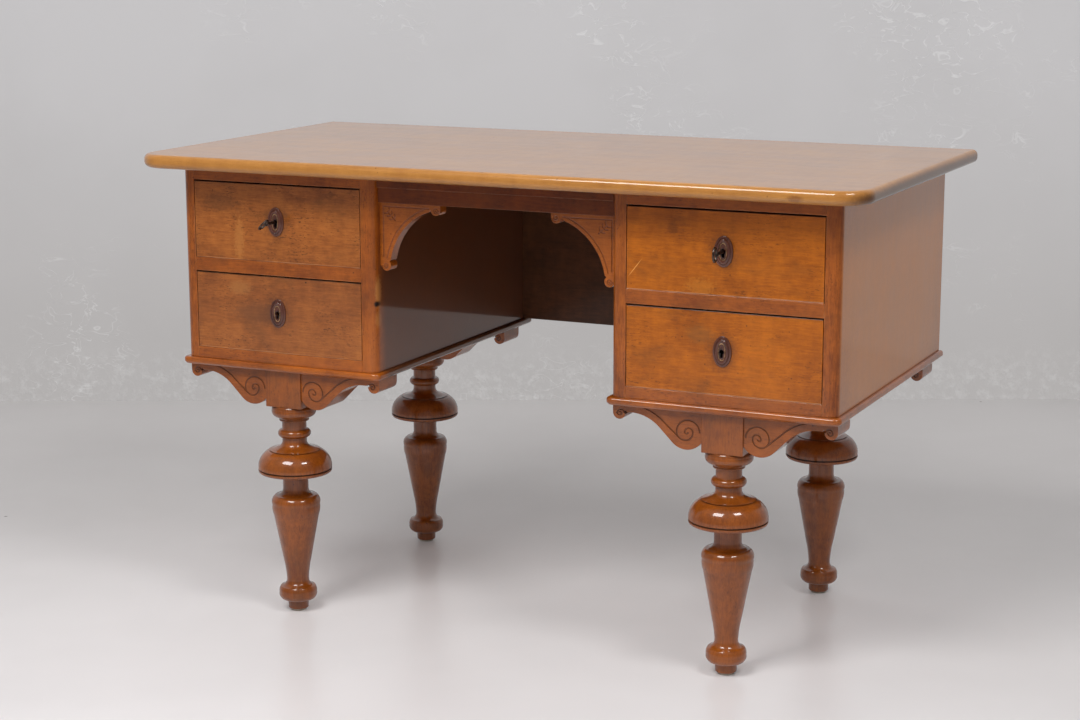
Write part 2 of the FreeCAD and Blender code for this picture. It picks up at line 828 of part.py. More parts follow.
def neck_line(hand):
    """The line that leaves the volute and follows the swept underside until it runs out at the top."""
    volute = size("volute_radius")
    ring = volute * SPIRAL_RADIUS_SHARES[0]
    inset = volute - ring
    slope_share = math.sin(math.radians(SWEEP_DEGREES))
    start_out = size("volute_offset") + ring * slope_share
    start_down = size("bracket_drop") - volute + ring * slope_share
    sweep = size("sweep_radius") + inset
    end_down = size("bracket_neck") - inset
    slope_sum = start_out + start_down
    end_out = slope_sum - end_down - sweep * (1 - 2 * slope_share)
    bend_out = end_out - sweep * slope_share
    middle_out = end_out - sweep * math.sin(math.radians(SWEEP_DEGREES / 2))
    middle_down = end_down + sweep * (1 - math.cos(math.radians(SWEEP_DEGREES / 2)))

    def at(out, down):
        return point(hand * out, -down)
    bend = at(bend_out, slope_sum - bend_out)
    return [
        Part.LineSegment(at(start_out, start_down), bend).toShape(),
        Part.Arc(bend, at(middle_out, middle_down), at(end_out, end_down)).toShape(),
    ]


def groove_tool(name, edges):
    """A shallow channel of even width along a line, placed to cut a bracket's front face."""
    half_width = size("carved_line_width") / 2
    band = Part.Wire(edges).makeOffset2D(half_width, 0, True, False)
    band.rotate(FreeCAD.Vector(0, 0, 0), RIGHTWARD, 90)
    depth = size("carved_line_depth")
    band.translate(BACKWARD * (-size("bracket_depth") - depth))
    tool = doc.addObject("Part::Feature", name)
    tool.Shape = band.extrude(BACKWARD * 2 * depth)
    return tool


def make_bracket(label, hand):
    """One scrolled bracket beside a leg's block, with its spiral and border line cut in the front."""
    body = start_body(label + "_body")
    sketch = sketch_on(body, "XZ_Plane", label + "_outline", outline(bracket_stations(hand)))
    padded(body, sketch, label + "_slab", "Sizes.bracket_depth")
    tools = [
        groove_tool(label + "_spiral", volute_line(hand)),
        groove_tool(label + "_border", neck_line(hand)),
    ]
    return cut(label + "_carved", body, tools)


def make_bracket_pair(name, side, leg_centre):
    """The two brackets of a leg, one each side of its block."""
    pair = []
    for tag, hand in (("inward", -1), ("outward", 1)):
        bracket = make_bracket("%s_%s" % (name, tag), hand)
        put(bracket, (
            "%s * Places.pedestal_centre + %s * Sizes.block_size / 2" % (side, hand),
            leg_centre + " + Sizes.bracket_depth / 2",
            "Sizes.leg_height",
        ))
        pair.append(bracket)
    keep(group(name + "_pair", pair), name + "_leg_brackets")


def make_legs():
    """Four legs, their brackets and the pads under their feet."""
    pads = []
    for name, side in SIDES.items():
        for row in ("front", "back"):
            leg_name = "%s_%s" % (name, row)
            leg_centre = "Places.%s_leg_centre" % row
            make_leg(leg_name + "_leg", side, leg_centre)
            make_bracket_pair(leg_name, side, leg_centre)
            where = ("%s * Places.pedestal_centre" % side, leg_centre, "0")
            pads.append(rod(leg_name + "_pad", "Sizes.foot_pad_radius", "Sizes.foot_pad_height", where))
    keep(group("pad_group", pads), "foot_pads")


def side_left(hand):
    """Expression for the left edge of one of a drawer's sides."""
    if hand < 0:
        return "-Places.drawer_width / 2"
    return "Places.drawer_width / 2 - Sizes.drawer_side_thickness"


def tail_tools(name, hand):
    """Dovetails at the front end of a drawer side, standing forward of it."""
    tails = []
    left = side_left(hand)
    for number, share in enumerate(TAIL_PLACE_SHARES):
        tail = new_object("Part::Wedge", "%s_tail_%d" % (name, number), {
            "Ymax": "Sizes.tail_length",
            "Xmax": "Sizes.drawer_side_thickness",
            "X2max": "Sizes.drawer_side_thickness",
            "Zmax": "Sizes.tail_height",
            "Z2min": "Sizes.tail_flare",
            "Z2max": "Sizes.tail_height - Sizes.tail_flare",
        })
        tail.Xmin = tail.Ymin = tail.Zmin = tail.X2min = 0
        put(tail, (
            left,
            "Sizes.front_thickness - Sizes.tail_length",
            "%g * Places.drawer_side_height - Sizes.tail_height / 2" % share,
        ))
        tails.append(tail)
    return tails


def drawer_groove(name):
    """The groove that the drawer's bottom slides into, as one tool for the front and sides."""
    return board(
        name + "_groove",
        ("Places.bottom_panel_width", "Places.bottom_panel_length", "Sizes.drawer_bottom_thickness"),
        (
            "-Places.bottom_panel_width / 2",
            "Sizes.front_thickness - Sizes.groove_depth",
            "Sizes.drawer_bottom_rise",
        ),
    )


def keyhole_tools(name, depth):
    """A round hole over a narrow slot, cut from in front of the face."""
    start = "-Sizes.plate_thickness"
    hole = rod(
        name + "_hole", "Sizes.keyhole_round", depth + " + Sizes.plate_thickness",
        ("0", start, "Places.keyhole_height"), BACKWARD)
    slot = board(
        name + "_slot",
        ("Sizes.keyhole_slot", depth + " + Sizes.plate_thickness", "Sizes.keyhole_drop"),
        ("-Sizes.keyhole_slot / 2", start, "Places.keyhole_height - Sizes.keyhole_drop"),
    )
    return [hole, slot]


def lock_space(name):
    """The room of the lock case and its top plate in the drawer front."""
    case = board(
        name + "_case_room",
        ("Sizes.lock_width", "Sizes.lock_depth", "Places.lock_height"),
        (
            "-Sizes.lock_width / 2",
            "Sizes.front_thickness - Sizes.lock_depth",
            "Places.keyhole_height - Sizes.lock_drop",
        ),
    )
    plate = board(
        name + "_selvedge_room",
        ("Sizes.selvedge_width", "Sizes.selvedge_depth", "Sizes.lock_wall"),
        (
            "-Sizes.selvedge_width / 2",
            "Sizes.front_thickness - Sizes.selvedge_depth",
            "Places.drawer_front_height - Sizes.lock_wall",
        ),
    )
    return [case, plate]


def make_front(name, origin, tails):
    """A drawer front with half-blind sockets, the bottom's groove, the keyhole and the lock's room."""
    body = start_body(name + "_front_body")
    slab = body.newObject("PartDesign::AdditiveBox", name + "_front_slab")
    bind(slab, {
        "Length": "Places.drawer_width",
        "Width": "Sizes.front_thickness",
        "Height": "Places.drawer_front_height",
    })
    put(slab, ("-Places.drawer_width / 2", "0", "0"))

    def on_face(edge):
        return abs(edge.BoundBox.YMax) < SAME_PLACE
    dress_edges(
        body, slab, "PartDesign::Fillet", name + "_front_round", "Radius", "Sizes.front_edge_round", on_face)
    tools = tails + [drawer_groove(name + "_front")]
    tools += keyhole_tools(name + "_front", "Sizes.front_thickness") + lock_space(name + "_front")
    front = cut(name + "_front_cut", body, tools)
    put(front, origin)
    keep(front, name + "_drawer_front")


def make_box(name, origin, tails_by_hand):
    """The two dovetailed sides of a drawer and the back between them."""
    pieces = []
    for hand, tails in tails_by_hand.items():
        left = side_left(hand)
        tag = "%s_side_%s" % (name, "left" if hand < 0 else "right")
        plank = board(
            tag,
            ("Sizes.drawer_side_thickness", "Places.drawer_side_length", "Places.drawer_side_height"),
            (left, "Sizes.front_thickness", "0"),
        )
        tailed = fuse(tag + "_tailed", [plank] + tails)
        pieces.append(cut(tag + "_grooved", tailed, [drawer_groove(tag)]))
    pieces.append(board(
        name + "_rear",
        (
            "Places.drawer_inner_width",
            "Sizes.drawer_side_thickness",
            "Places.drawer_side_height - Places.drawer_back_bottom",
        ),
        (
            "-Places.drawer_inner_width / 2",
            "Places.drawer_length - Sizes.drawer_side_thickness",
            "Places.drawer_back_bottom",
        ),
    ))
    box = group(name + "_box", pieces)
    put(box, origin)
    keep(box, name + "_drawer_sides")


def make_bottom(name, origin):
    """The thin panel that slides into the grooves from the back."""
    panel = drawer_groove(name + "_bottom")
    holder = group(name + "_bottom_holder", [panel])
    put(holder, origin)
    keep(holder, name + "_drawer_bottom")


def make_lock(name, origin):
    """The lock case with its top plate, and the keyhole's metal lining."""
    rooms = lock_space(name + "_lock")
    cavity = board(
        name + "_lock_cavity",
        (
            "Sizes.lock_width - 2 * Sizes.lock_wall",
            "Sizes.lock_depth - 2 * Sizes.lock_wall",
            "Places.lock_height - 2 * Sizes.lock_wall",
        ),
        (
            "-Sizes.lock_width / 2 + Sizes.lock_wall",
            "Sizes.front_thickness - Sizes.lock_depth + Sizes.lock_wall",
            "Places.keyhole_height - Sizes.lock_drop + Sizes.lock_wall",
        ),
    )
    slot = board(
        name + "_bolt_slot",
        ("Places.bolt_slot_width", "Places.bolt_slot_thickness", "2 * Sizes.lock_wall"),
        (
            "-Places.bolt_slot_width / 2",
            "Places.bolt_front - Sizes.bolt_clearance",
            "Places.drawer_front_height - 2 * Sizes.lock_wall",
        ),
    )
    front_wall_depth = "Sizes.front_thickness - Sizes.lock_depth + Sizes.lock_wall"
    tools = [cavity, slot] + keyhole_tools(name + "_lock", front_wall_depth)
    case = cut(name + "_lock_case", fuse(name + "_lock_shell", rooms), tools)
    lining = oval(name + "_liner", "Sizes.liner_width", "Sizes.liner_height", "Sizes.liner_thickness")
    pierced = cut(name + "_liner_cut", lining, keyhole_tools(name + "_liner", "Sizes.front_thickness"))
    lock = group(name + "_lock_group", [case, pierced])
    put(lock, origin)
    keep(lock, name + "_lock")


def standing_ellipse(name, height, width, normal, centre):
    """An ellipse that stands upright, with its normal along a level direction."""
    ellipse = new_object("Part::Ellipse", name, {
        "MajorRadius": "(%s) / 2" % height,
        "MinorRadius": "(%s) / 2" % width,
    })
    turn = FreeCAD.Rotation(UP, normal.cross(UP), normal, "ZXY")
    ellipse.Placement = FreeCAD.Placement(FreeCAD.Vector(0, 0, 0), turn)
    put(ellipse, centre)
    return ellipse


def extruded(name, base, direction, length, both_ways):
    """A solid swept straight from a closed curve."""
    solid = doc.addObject("Part::Extrusion", name)
    solid.Base = base
    solid.DirMode = "Custom"
    solid.Dir = direction
    solid.Solid = True
    solid.Symmetric = both_ways
    solid.setExpression("LengthFwd", length)
    return solid


def oval(name, width, height, thickness):
    """An upright oval plate that stands out from the drawer's face."""
    centre = ("0", "0", "Places.keyhole_height")
    rim = standing_ellipse(name + "_rim", height, width, BACKWARD, centre)
    return extruded(name, rim, -BACKWARD, thickness, False)


def make_escutcheon(name, origin):
    """The carved oval plate round the keyhole: a broad rim and a raised inner field."""
    rim = oval(
        name + "_plate_rim", "Sizes.plate_width", "Sizes.plate_height",
        "Sizes.plate_thickness - Sizes.plate_step_depth")
    field = oval(
        name + "_plate_field", "Sizes.plate_width - 2 * Sizes.plate_step",
        "Sizes.plate_height - 2 * Sizes.plate_step", "Sizes.plate_thickness")
    whole = fuse(name + "_plate_whole", [rim, field])
    bed = oval(name + "_plate_bed", "Sizes.liner_width", "Sizes.liner_height", "2 * Sizes.plate_thickness")
    plate = cut(name + "_plate_cut", whole, [bed])
    put(plate, origin)
    keep(plate, name + "_escutcheon")


def make_bolt(name, origin, raised):
    """The lock bolt, which rises out of the drawer front's top edge."""
    bolt = board(
        name + "_bolt_bar",
        ("Sizes.bolt_width", "Sizes.bolt_thickness", "Places.bolt_height"),
        ("-Sizes.bolt_width / 2", "Places.bolt_front", "Places.bolt_bottom + " + raised),
    )
    holder = group(name + "_bolt_holder", [bolt])
    put(holder, origin)
    keep(holder, name + "_lock_bolt")


def make_key(name, origin, turn):
    """A key with an oval ring for a bow, a round stem and a flat bit inside the lock."""
    reach_in = "Sizes.front_thickness - Sizes.lock_depth + Sizes.lock_wall + Sizes.bolt_clearance"
    stem_start = "-Sizes.plate_thickness - Sizes.key_stand_off"
    stem = rod(
        name + "_stem", "Sizes.key_stem_radius",
        "Sizes.plate_thickness + Sizes.key_stand_off + Sizes.bit_length + " + reach_in,
        ("0", stem_start, "0"), BACKWARD)
    bit = board(
        name + "_bit",
        ("Sizes.bit_thickness", "Sizes.bit_length", "Sizes.bit_reach"),
        ("-Sizes.bit_thickness / 2", reach_in, "-Sizes.bit_reach"),
    )
    bow = bow_ring(name)
    key = fuse(name + "_key_solid", [stem, bit, bow])
    spin = FreeCAD.Rotation(BACKWARD, turn)
    key.Placement = FreeCAD.Placement(FreeCAD.Vector(0, 0, 0), spin)
    put(key, (origin[0], origin[1], origin[2] + " + Places.keyhole_height"))
    keep(key, name + "_key")


def bow_ring(name):
    """The key's oval ring, standing edge on to whoever faces the desk."""
    centre = (
        "0",
        "-Sizes.plate_thickness - Sizes.key_stand_off - Sizes.bow_length / 2 + Sizes.bow_wall / 2",
        "0",
    )
    rings = []
    for tag, wall, thickness in (
        ("outer", "", "Sizes.bow_thickness"),
        ("inner", " - 2 * Sizes.bow_wall", "2 * Sizes.bow_thickness"),
    ):
        rim = standing_ellipse(
            "%s_bow_%s_rim" % (name, tag),
            "Sizes.bow_height" + wall, "Sizes.bow_length" + wall, RIGHTWARD, centre)
        rings.append(extruded("%s_bow_%s" % (name, tag), rim, RIGHTWARD, thickness, True))
    return cut(name + "_bow", rings[0], [rings[1]])


def make_drawers():
    """Four locked drawers; the two upper ones have their keys in."""
    for side_name, side in SIDES.items():
        for row in ("upper", "lower"):
            name = "%s_%s" % (side_name, row)
            origin = (
                "%s * Places.opening_centre" % side,
                "Places.front_plane",
                "Places.%s_opening + Sizes.drawer_seat_gap" % row,
            )
            tails_by_hand = {
                -1: tail_tools(name + "_left", -1),
                1: tail_tools(name + "_right", 1),
            }
            make_front(name, origin, tails_by_hand[-1] + tails_by_hand[1])
            make_box(name, origin, tails_by_hand)
            make_bottom(name, origin)
            make_lock(name, origin)
            make_escutcheon(name, origin)
            half_turned = name == "left_upper"
            raised = "Sizes.bolt_travel * Sizes.left_key_turn / 180" if half_turned else "0"
            make_bolt(name, origin, raised)
            if row == "upper":
                make_key(name, origin, size("left_key_turn") if half_turned else 0)


def write_parts():
    """Check every object, then write each piece to its own file."""
    doc.recompute()
    for thing in doc.Objects:
        if "Invalid" in thing.State or "Error" in thing.State:
            raise RuntimeError("%s failed: %s" % (thing.Name, thing.State))
    for thing in parts:
        if thing.Shape.isNull() or not thing.Shape.isValid():
            raise RuntimeError("%s has no valid shape" % thing.Label)
    os.makedirs(OUTPUT_FOLDER, exist_ok=True)
    for thing in parts:
        thing.Shape.exportStep(os.path.join(OUTPUT_FOLDER, thing.Label + ".step"))
    print("%d pieces written" % len(parts))


make_top()
make_sides()
for pedestal, hand in SIDES.items():
    make_rails(pedestal, hand)
    make_runners(pedestal, hand)
    make_base_board(pedestal, hand)
    make_spandrel(pedestal, hand)
make_top_strips()
make_stops()
make_backs()
make_aprons()
make_legs()
make_drawers()
write_parts()
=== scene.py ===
import json
import logging
import math
from dataclasses import dataclass
from enum import Enum
from typing import Callable, Sequence

import bmesh
import bpy
from mathutils import Matrix, Vector


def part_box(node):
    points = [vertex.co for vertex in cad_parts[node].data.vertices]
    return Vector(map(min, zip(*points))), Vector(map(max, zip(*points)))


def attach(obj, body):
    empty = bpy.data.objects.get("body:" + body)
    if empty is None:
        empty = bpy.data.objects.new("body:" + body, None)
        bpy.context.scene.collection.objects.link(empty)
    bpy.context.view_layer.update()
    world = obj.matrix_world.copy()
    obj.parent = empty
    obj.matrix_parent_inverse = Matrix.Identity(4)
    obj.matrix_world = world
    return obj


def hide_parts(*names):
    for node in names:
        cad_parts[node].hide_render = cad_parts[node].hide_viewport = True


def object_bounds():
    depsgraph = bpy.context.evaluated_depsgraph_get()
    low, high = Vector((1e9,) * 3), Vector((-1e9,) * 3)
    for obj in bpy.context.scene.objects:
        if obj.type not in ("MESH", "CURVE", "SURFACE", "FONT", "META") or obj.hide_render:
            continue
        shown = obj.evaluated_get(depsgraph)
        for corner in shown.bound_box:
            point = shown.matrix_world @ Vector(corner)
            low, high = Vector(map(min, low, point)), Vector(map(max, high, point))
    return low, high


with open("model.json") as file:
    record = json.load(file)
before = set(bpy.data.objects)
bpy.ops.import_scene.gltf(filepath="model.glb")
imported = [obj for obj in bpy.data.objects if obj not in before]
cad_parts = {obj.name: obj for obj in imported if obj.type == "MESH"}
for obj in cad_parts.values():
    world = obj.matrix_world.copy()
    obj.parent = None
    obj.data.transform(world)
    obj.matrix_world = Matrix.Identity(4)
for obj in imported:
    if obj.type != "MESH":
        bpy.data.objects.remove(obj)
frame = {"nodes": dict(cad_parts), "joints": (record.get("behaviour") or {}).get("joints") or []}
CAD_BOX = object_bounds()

# A kneehole writing desk in old polished wood, in a plain studio.
# Lengths are in metres: X runs to the right, Y to the back and Z up, as in the frame.

MM = 0.001
SHARP_ANGLE = math.radians(32)
SAME_PLACE = 0.02 * MM
DEPTH_AXIS = Vector((0, -1, 0))
BLOCK_SIZE = 66.5 * MM
LEG_NAMES = ("left_front", "left_back", "right_front", "right_back")

log = logging.getLogger("desk")

Screen = tuple[int, int, int]


class Grain(Enum):
    """The way that the fibres of a board run."""

    ACROSS = 0
    DEEP = 1
    UPRIGHT = 2


class Slot(Enum):
    """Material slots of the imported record."""

    TOP = "wood_top"
    CASE = "wood_case"
    FRONT = "wood_front"
    LEG = "wood_leg"
    INSIDE = "wood_inside"
    DARK = "wood_dark"
    BRASS = "brass"
    STEEL = "steel"
    FELT = "felt"


def paint(colour: Screen) -> tuple[float, float, float, float]:
    """Turn a colour as it is seen on a screen into a shader's colour.

    Args:
        colour: Red, green and blue, each from 0 to 255.

    Returns:
        The same colour in linear light, with full opacity.
    """
    levels = [part / 255 for part in colour]
    linear = [
        level / 12.92 if level <= 0.04045 else ((level + 0.055) / 1.055) ** 2.4 for level in levels]
    return (*linear, 1.0)


class Signal:
    """A shader socket that works in sums like a number; every sum adds a Math node."""

    def __init__(self, bench: "Bench", socket: bpy.types.NodeSocket) -> None:
        """Wrap an output socket of a bench's tree."""
        self.bench = bench
        self.socket = socket

    def __add__(self, other: "Signal | float") -> "Signal":
        """Sum of two values."""
        return self.bench.math("ADD", self, other)

    def __sub__(self, other: "Signal | float") -> "Signal":
        """Difference of two values."""
        return self.bench.math("SUBTRACT", self, other)

    def __rsub__(self, other: float) -> "Signal":
        """Difference from a plain number."""
        return self.bench.math("SUBTRACT", other, self)

    def __mul__(self, other: "Signal | float") -> "Signal":
        """Product of two values."""
        return self.bench.math("MULTIPLY", self, other)

    def __pow__(self, other: float) -> "Signal":
        """Power of a value."""
        return self.bench.math("POWER", self, other)

    __radd__ = __add__
    __rmul__ = __mul__

    def sine(self) -> "Signal":
        """Sine of the value."""
        return self.bench.math("SINE", self)

    def size(self) -> "Signal":
        """The value without its sign."""
        return self.bench.math("ABSOLUTE", self)

    def least(self, other: "Signal | float") -> "Signal":
        """The smaller of two values."""
        return self.bench.math("MINIMUM", self, other)

    def most(self, other: "Signal | float") -> "Signal":
        """The larger of two values."""
        return self.bench.math("MAXIMUM", self, other)

    def between(self, start: "Signal | float", end: "Signal | float") -> "Signal":
        """Smooth step that is 0 before start and 1 after end."""
        settings = {"interpolation_type": "SMOOTHSTEP"}
        sockets = {"Value": self, "From Min": start, "From Max": end}
        return self.bench.signal("ShaderNodeMapRange", settings, sockets)


class Bench:
    """The node tree of one material, with a single way to add any node."""

    def __init__(self, name: str) -> None:
        """Start an empty material.

        Args:
            name: Name of the material.
        """
        self.material = bpy.data.materials.new(name)
        self.material.use_nodes = True
        self.tree = self.material.node_tree
        self.tree.nodes.clear()
        self.place = self.signal("ShaderNodeTexCoord", output="Object")

    def node(self, kind: str, settings: dict | None = None, sockets: dict | None = None) -> bpy.types.Node:
        """Add a node, set its options and then feed its sockets.

        Args:
            kind: Type of the node.
            settings: Options of the node, by name.
            sockets: Values or signals for its inputs, by name or number.

        Returns:
            The new node.
        """
        made = self.tree.nodes.new(kind)
        for name, value in (settings or {}).items():
            setattr(made, name, value)
        for key, value in (sockets or {}).items():
            if isinstance(value, Signal):
                self.tree.links.new(value.socket, made.inputs[key])
            else:
                made.inputs[key].default_value = value
        return made

    def signal(
        self, kind: str, settings: dict | None = None, sockets: dict | None = None, output: str | int = 0
    ) -> Signal:
        """Add a node and wrap one of its outputs."""
        return Signal(self, self.node(kind, settings, sockets).outputs[output])

    def math(self, operation: str, *values: Signal | float) -> Signal:
        """Add a Math node on one or two values."""
        return self.signal("ShaderNodeMath", {"operation": operation}, dict(enumerate(values)))

    def vector_math(self, operation: str, *values: Signal | Vector, output: int = 0) -> Signal:
        """Add a Vector Math node on one or two vectors."""
        return self.signal("ShaderNodeVectorMath", {"operation": operation}, dict(enumerate(values)), output)

    def noise(
        self, where: Signal, scale: float, detail: float = 2.0, roughness: float = 0.5, bend: float = 0.0
    ) -> Signal:
        """Cloudy noise around 0.5.

        Args:
            where: Place to read it at.
            scale: Clouds for each metre.
            detail: Number of finer layers.
            roughness: Strength of the finer layers.
            bend: How far the clouds are pulled about.

        Returns:
            The noise, from 0 to 1.
        """
        return self.signal("ShaderNodeTexNoise", None, {
            "Vector": where, "Scale": scale, "Detail": detail, "Roughness": roughness, "Distortion": bend})

    def along(self, grain: Grain, share: float, tilt: float = 0.0) -> Signal:
        """Object coordinates that are squeezed along the grain, so that patterns run long that way.

        Args:
            grain: Way of the fibres.
            share: Rate along the grain against the rate across it.
            tilt: Angle by which the fibres run out of line.

        Returns:
            The squeezed coordinates.
        """
        scale = [1.0, 1.0, 1.0]
        scale[grain.value] = share
        sockets = {"Vector": self.place, "Scale": scale, "Rotation": (tilt, tilt, tilt)}
        return self.signal("ShaderNodeMapping", None, sockets)

    def attribute(self, name: str, output: str = "Fac") -> Signal:
        """Read a value that a piece carries on its points."""
        return self.signal("ShaderNodeAttribute", {"attribute_name": name}, output=output)

    def blend(self, base: Signal | tuple, other: Signal | tuple, share: Signal | float) -> Signal:
        """Mix two colours.

        Args:
            base: Colour where the share is 0.
            other: Colour where the share is 1.
            share: How much of the other colour there is.

        Returns:
            The mixed colour.
        """
        settings = {"data_type": "RGBA", "blend_type": "MIX", "clamp_factor": True}
        return self.signal("ShaderNodeMix", settings, {0: share, 6: base, 7: other}, output=2)

    def parts(self, vector: Signal) -> tuple[Signal, ...]:
        """Split a vector into its X, Y and Z."""
        node = self.node("ShaderNodeSeparateXYZ", None, {0: vector})
        return tuple(Signal(self, socket) for socket in node.outputs)

    def above_box(self) -> Signal:
        """Vector from the lowest corner of the piece's own box."""
        return self.vector_math("SUBTRACT", self.place, self.attribute("box_low", "Vector"))

    def below_box(self) -> Signal:
        """Vector to the highest corner of the piece's own box."""
        return self.vector_math("SUBTRACT", self.attribute("box_high", "Vector"), self.place)

    def rim(self) -> Signal:
        """Distance to the nearest long edge of the piece's own box."""
        x, y, z = self.parts(self.vector_math("MINIMUM", self.above_box(), self.below_box()))
        return x.least(y).most(x.most(y).least(z))

    def surface(self, sockets: dict, height: Signal | None, depth: float) -> Signal:
        """Add the shader of a surface, with its relief where it has one.

        Args:
            sockets: Values or signals for the shader.
            height: Relief of the surface, from 0 to 1.
            depth: Depth of the relief.

        Returns:
            The shader.
        """
        if height is not None:
            relief = {"Height": height, "Distance": depth, "Strength": 1.0}
            sockets = {**sockets, "Normal": self.signal("ShaderNodeBump", None, relief)}
        return self.signal("ShaderNodeBsdfPrincipled", None, sockets)

    def finish(self, sockets: dict, height: Signal, depth: float) -> bpy.types.Material:
        """Close the material with one shader.

        Args:
            sockets: Values or signals for the shader.
            height: Relief of the surface, from 0 to 1.
            depth: Depth of the relief.

        Returns:
            The material.
        """
        self.node("ShaderNodeOutputMaterial", None, {"Surface": self.surface(sockets, height, depth)})
        return self.material

    def stage_finish(self, shader: Signal, seen: Signal, share: float) -> bpy.types.Material:
        """Close a stage material whose pale colour is partly its own, as the camera and gloss see it.

        Args:
            shader: How the surface takes light and shadow.
            seen: Colour that it shows by itself.
            share: How much of that colour there is.

        Returns:
            The material.
        """
        glow = self.signal("ShaderNodeEmission", None, {"Color": seen, "Strength": 1.0})
        camera = self.signal("ShaderNodeLightPath", output="Is Camera Ray")
        gloss = self.signal("ShaderNodeLightPath", output="Is Glossy Ray")
        mixed = self.signal("ShaderNodeMixShader", None, {0: camera.most(gloss) * share, 1: shader, 2: glow})
        back = self.signal("ShaderNodeNewGeometry", output="Backfacing")
        clear = self.signal("ShaderNodeBsdfTransparent")
        mixed = self.signal("ShaderNodeMixShader", None, {0: back, 1: mixed, 2: clear})
        self.node("ShaderNodeOutputMaterial", None, {"Surface": mixed})
        return self.material


@dataclass(frozen=True)
class Mark:
    """A stain, knot, scratch or worn place on one board, or a patch of painted shade."""

    centre: tuple[float, float, float]
    reach: tuple[float, float, float]
    colour: Screen
    strength: float
    ragged: float = 0.7
    lean: float = 0.0

    def lay(self, bench: Bench, colour: Signal) -> Signal:
        """Lay the mark over a colour.

        Args:
            bench: Tree that the colour belongs to.
            colour: Colour of the board.

        Returns:
            The marked colour.
        """
        away = bench.vector_math("SUBTRACT", bench.place, Vector(self.centre))
        if self.lean:
            sockets = {"Vector": away, "Angle": math.radians(self.lean)}
            away = bench.signal("ShaderNodeVectorRotate", {"rotation_type": "Y_AXIS"}, sockets)
        away = bench.vector_math("DIVIDE", away, Vector(self.reach))
        distance = bench.vector_math("LENGTH", away, output=1)
        ragged = distance + (bench.noise(bench.place, 260.0, 3.0) - 0.5) * self.ragged
        return bench.blend(colour, paint(self.colour), (1.0 - ragged.between(0.35, 1.0)) * self.strength)


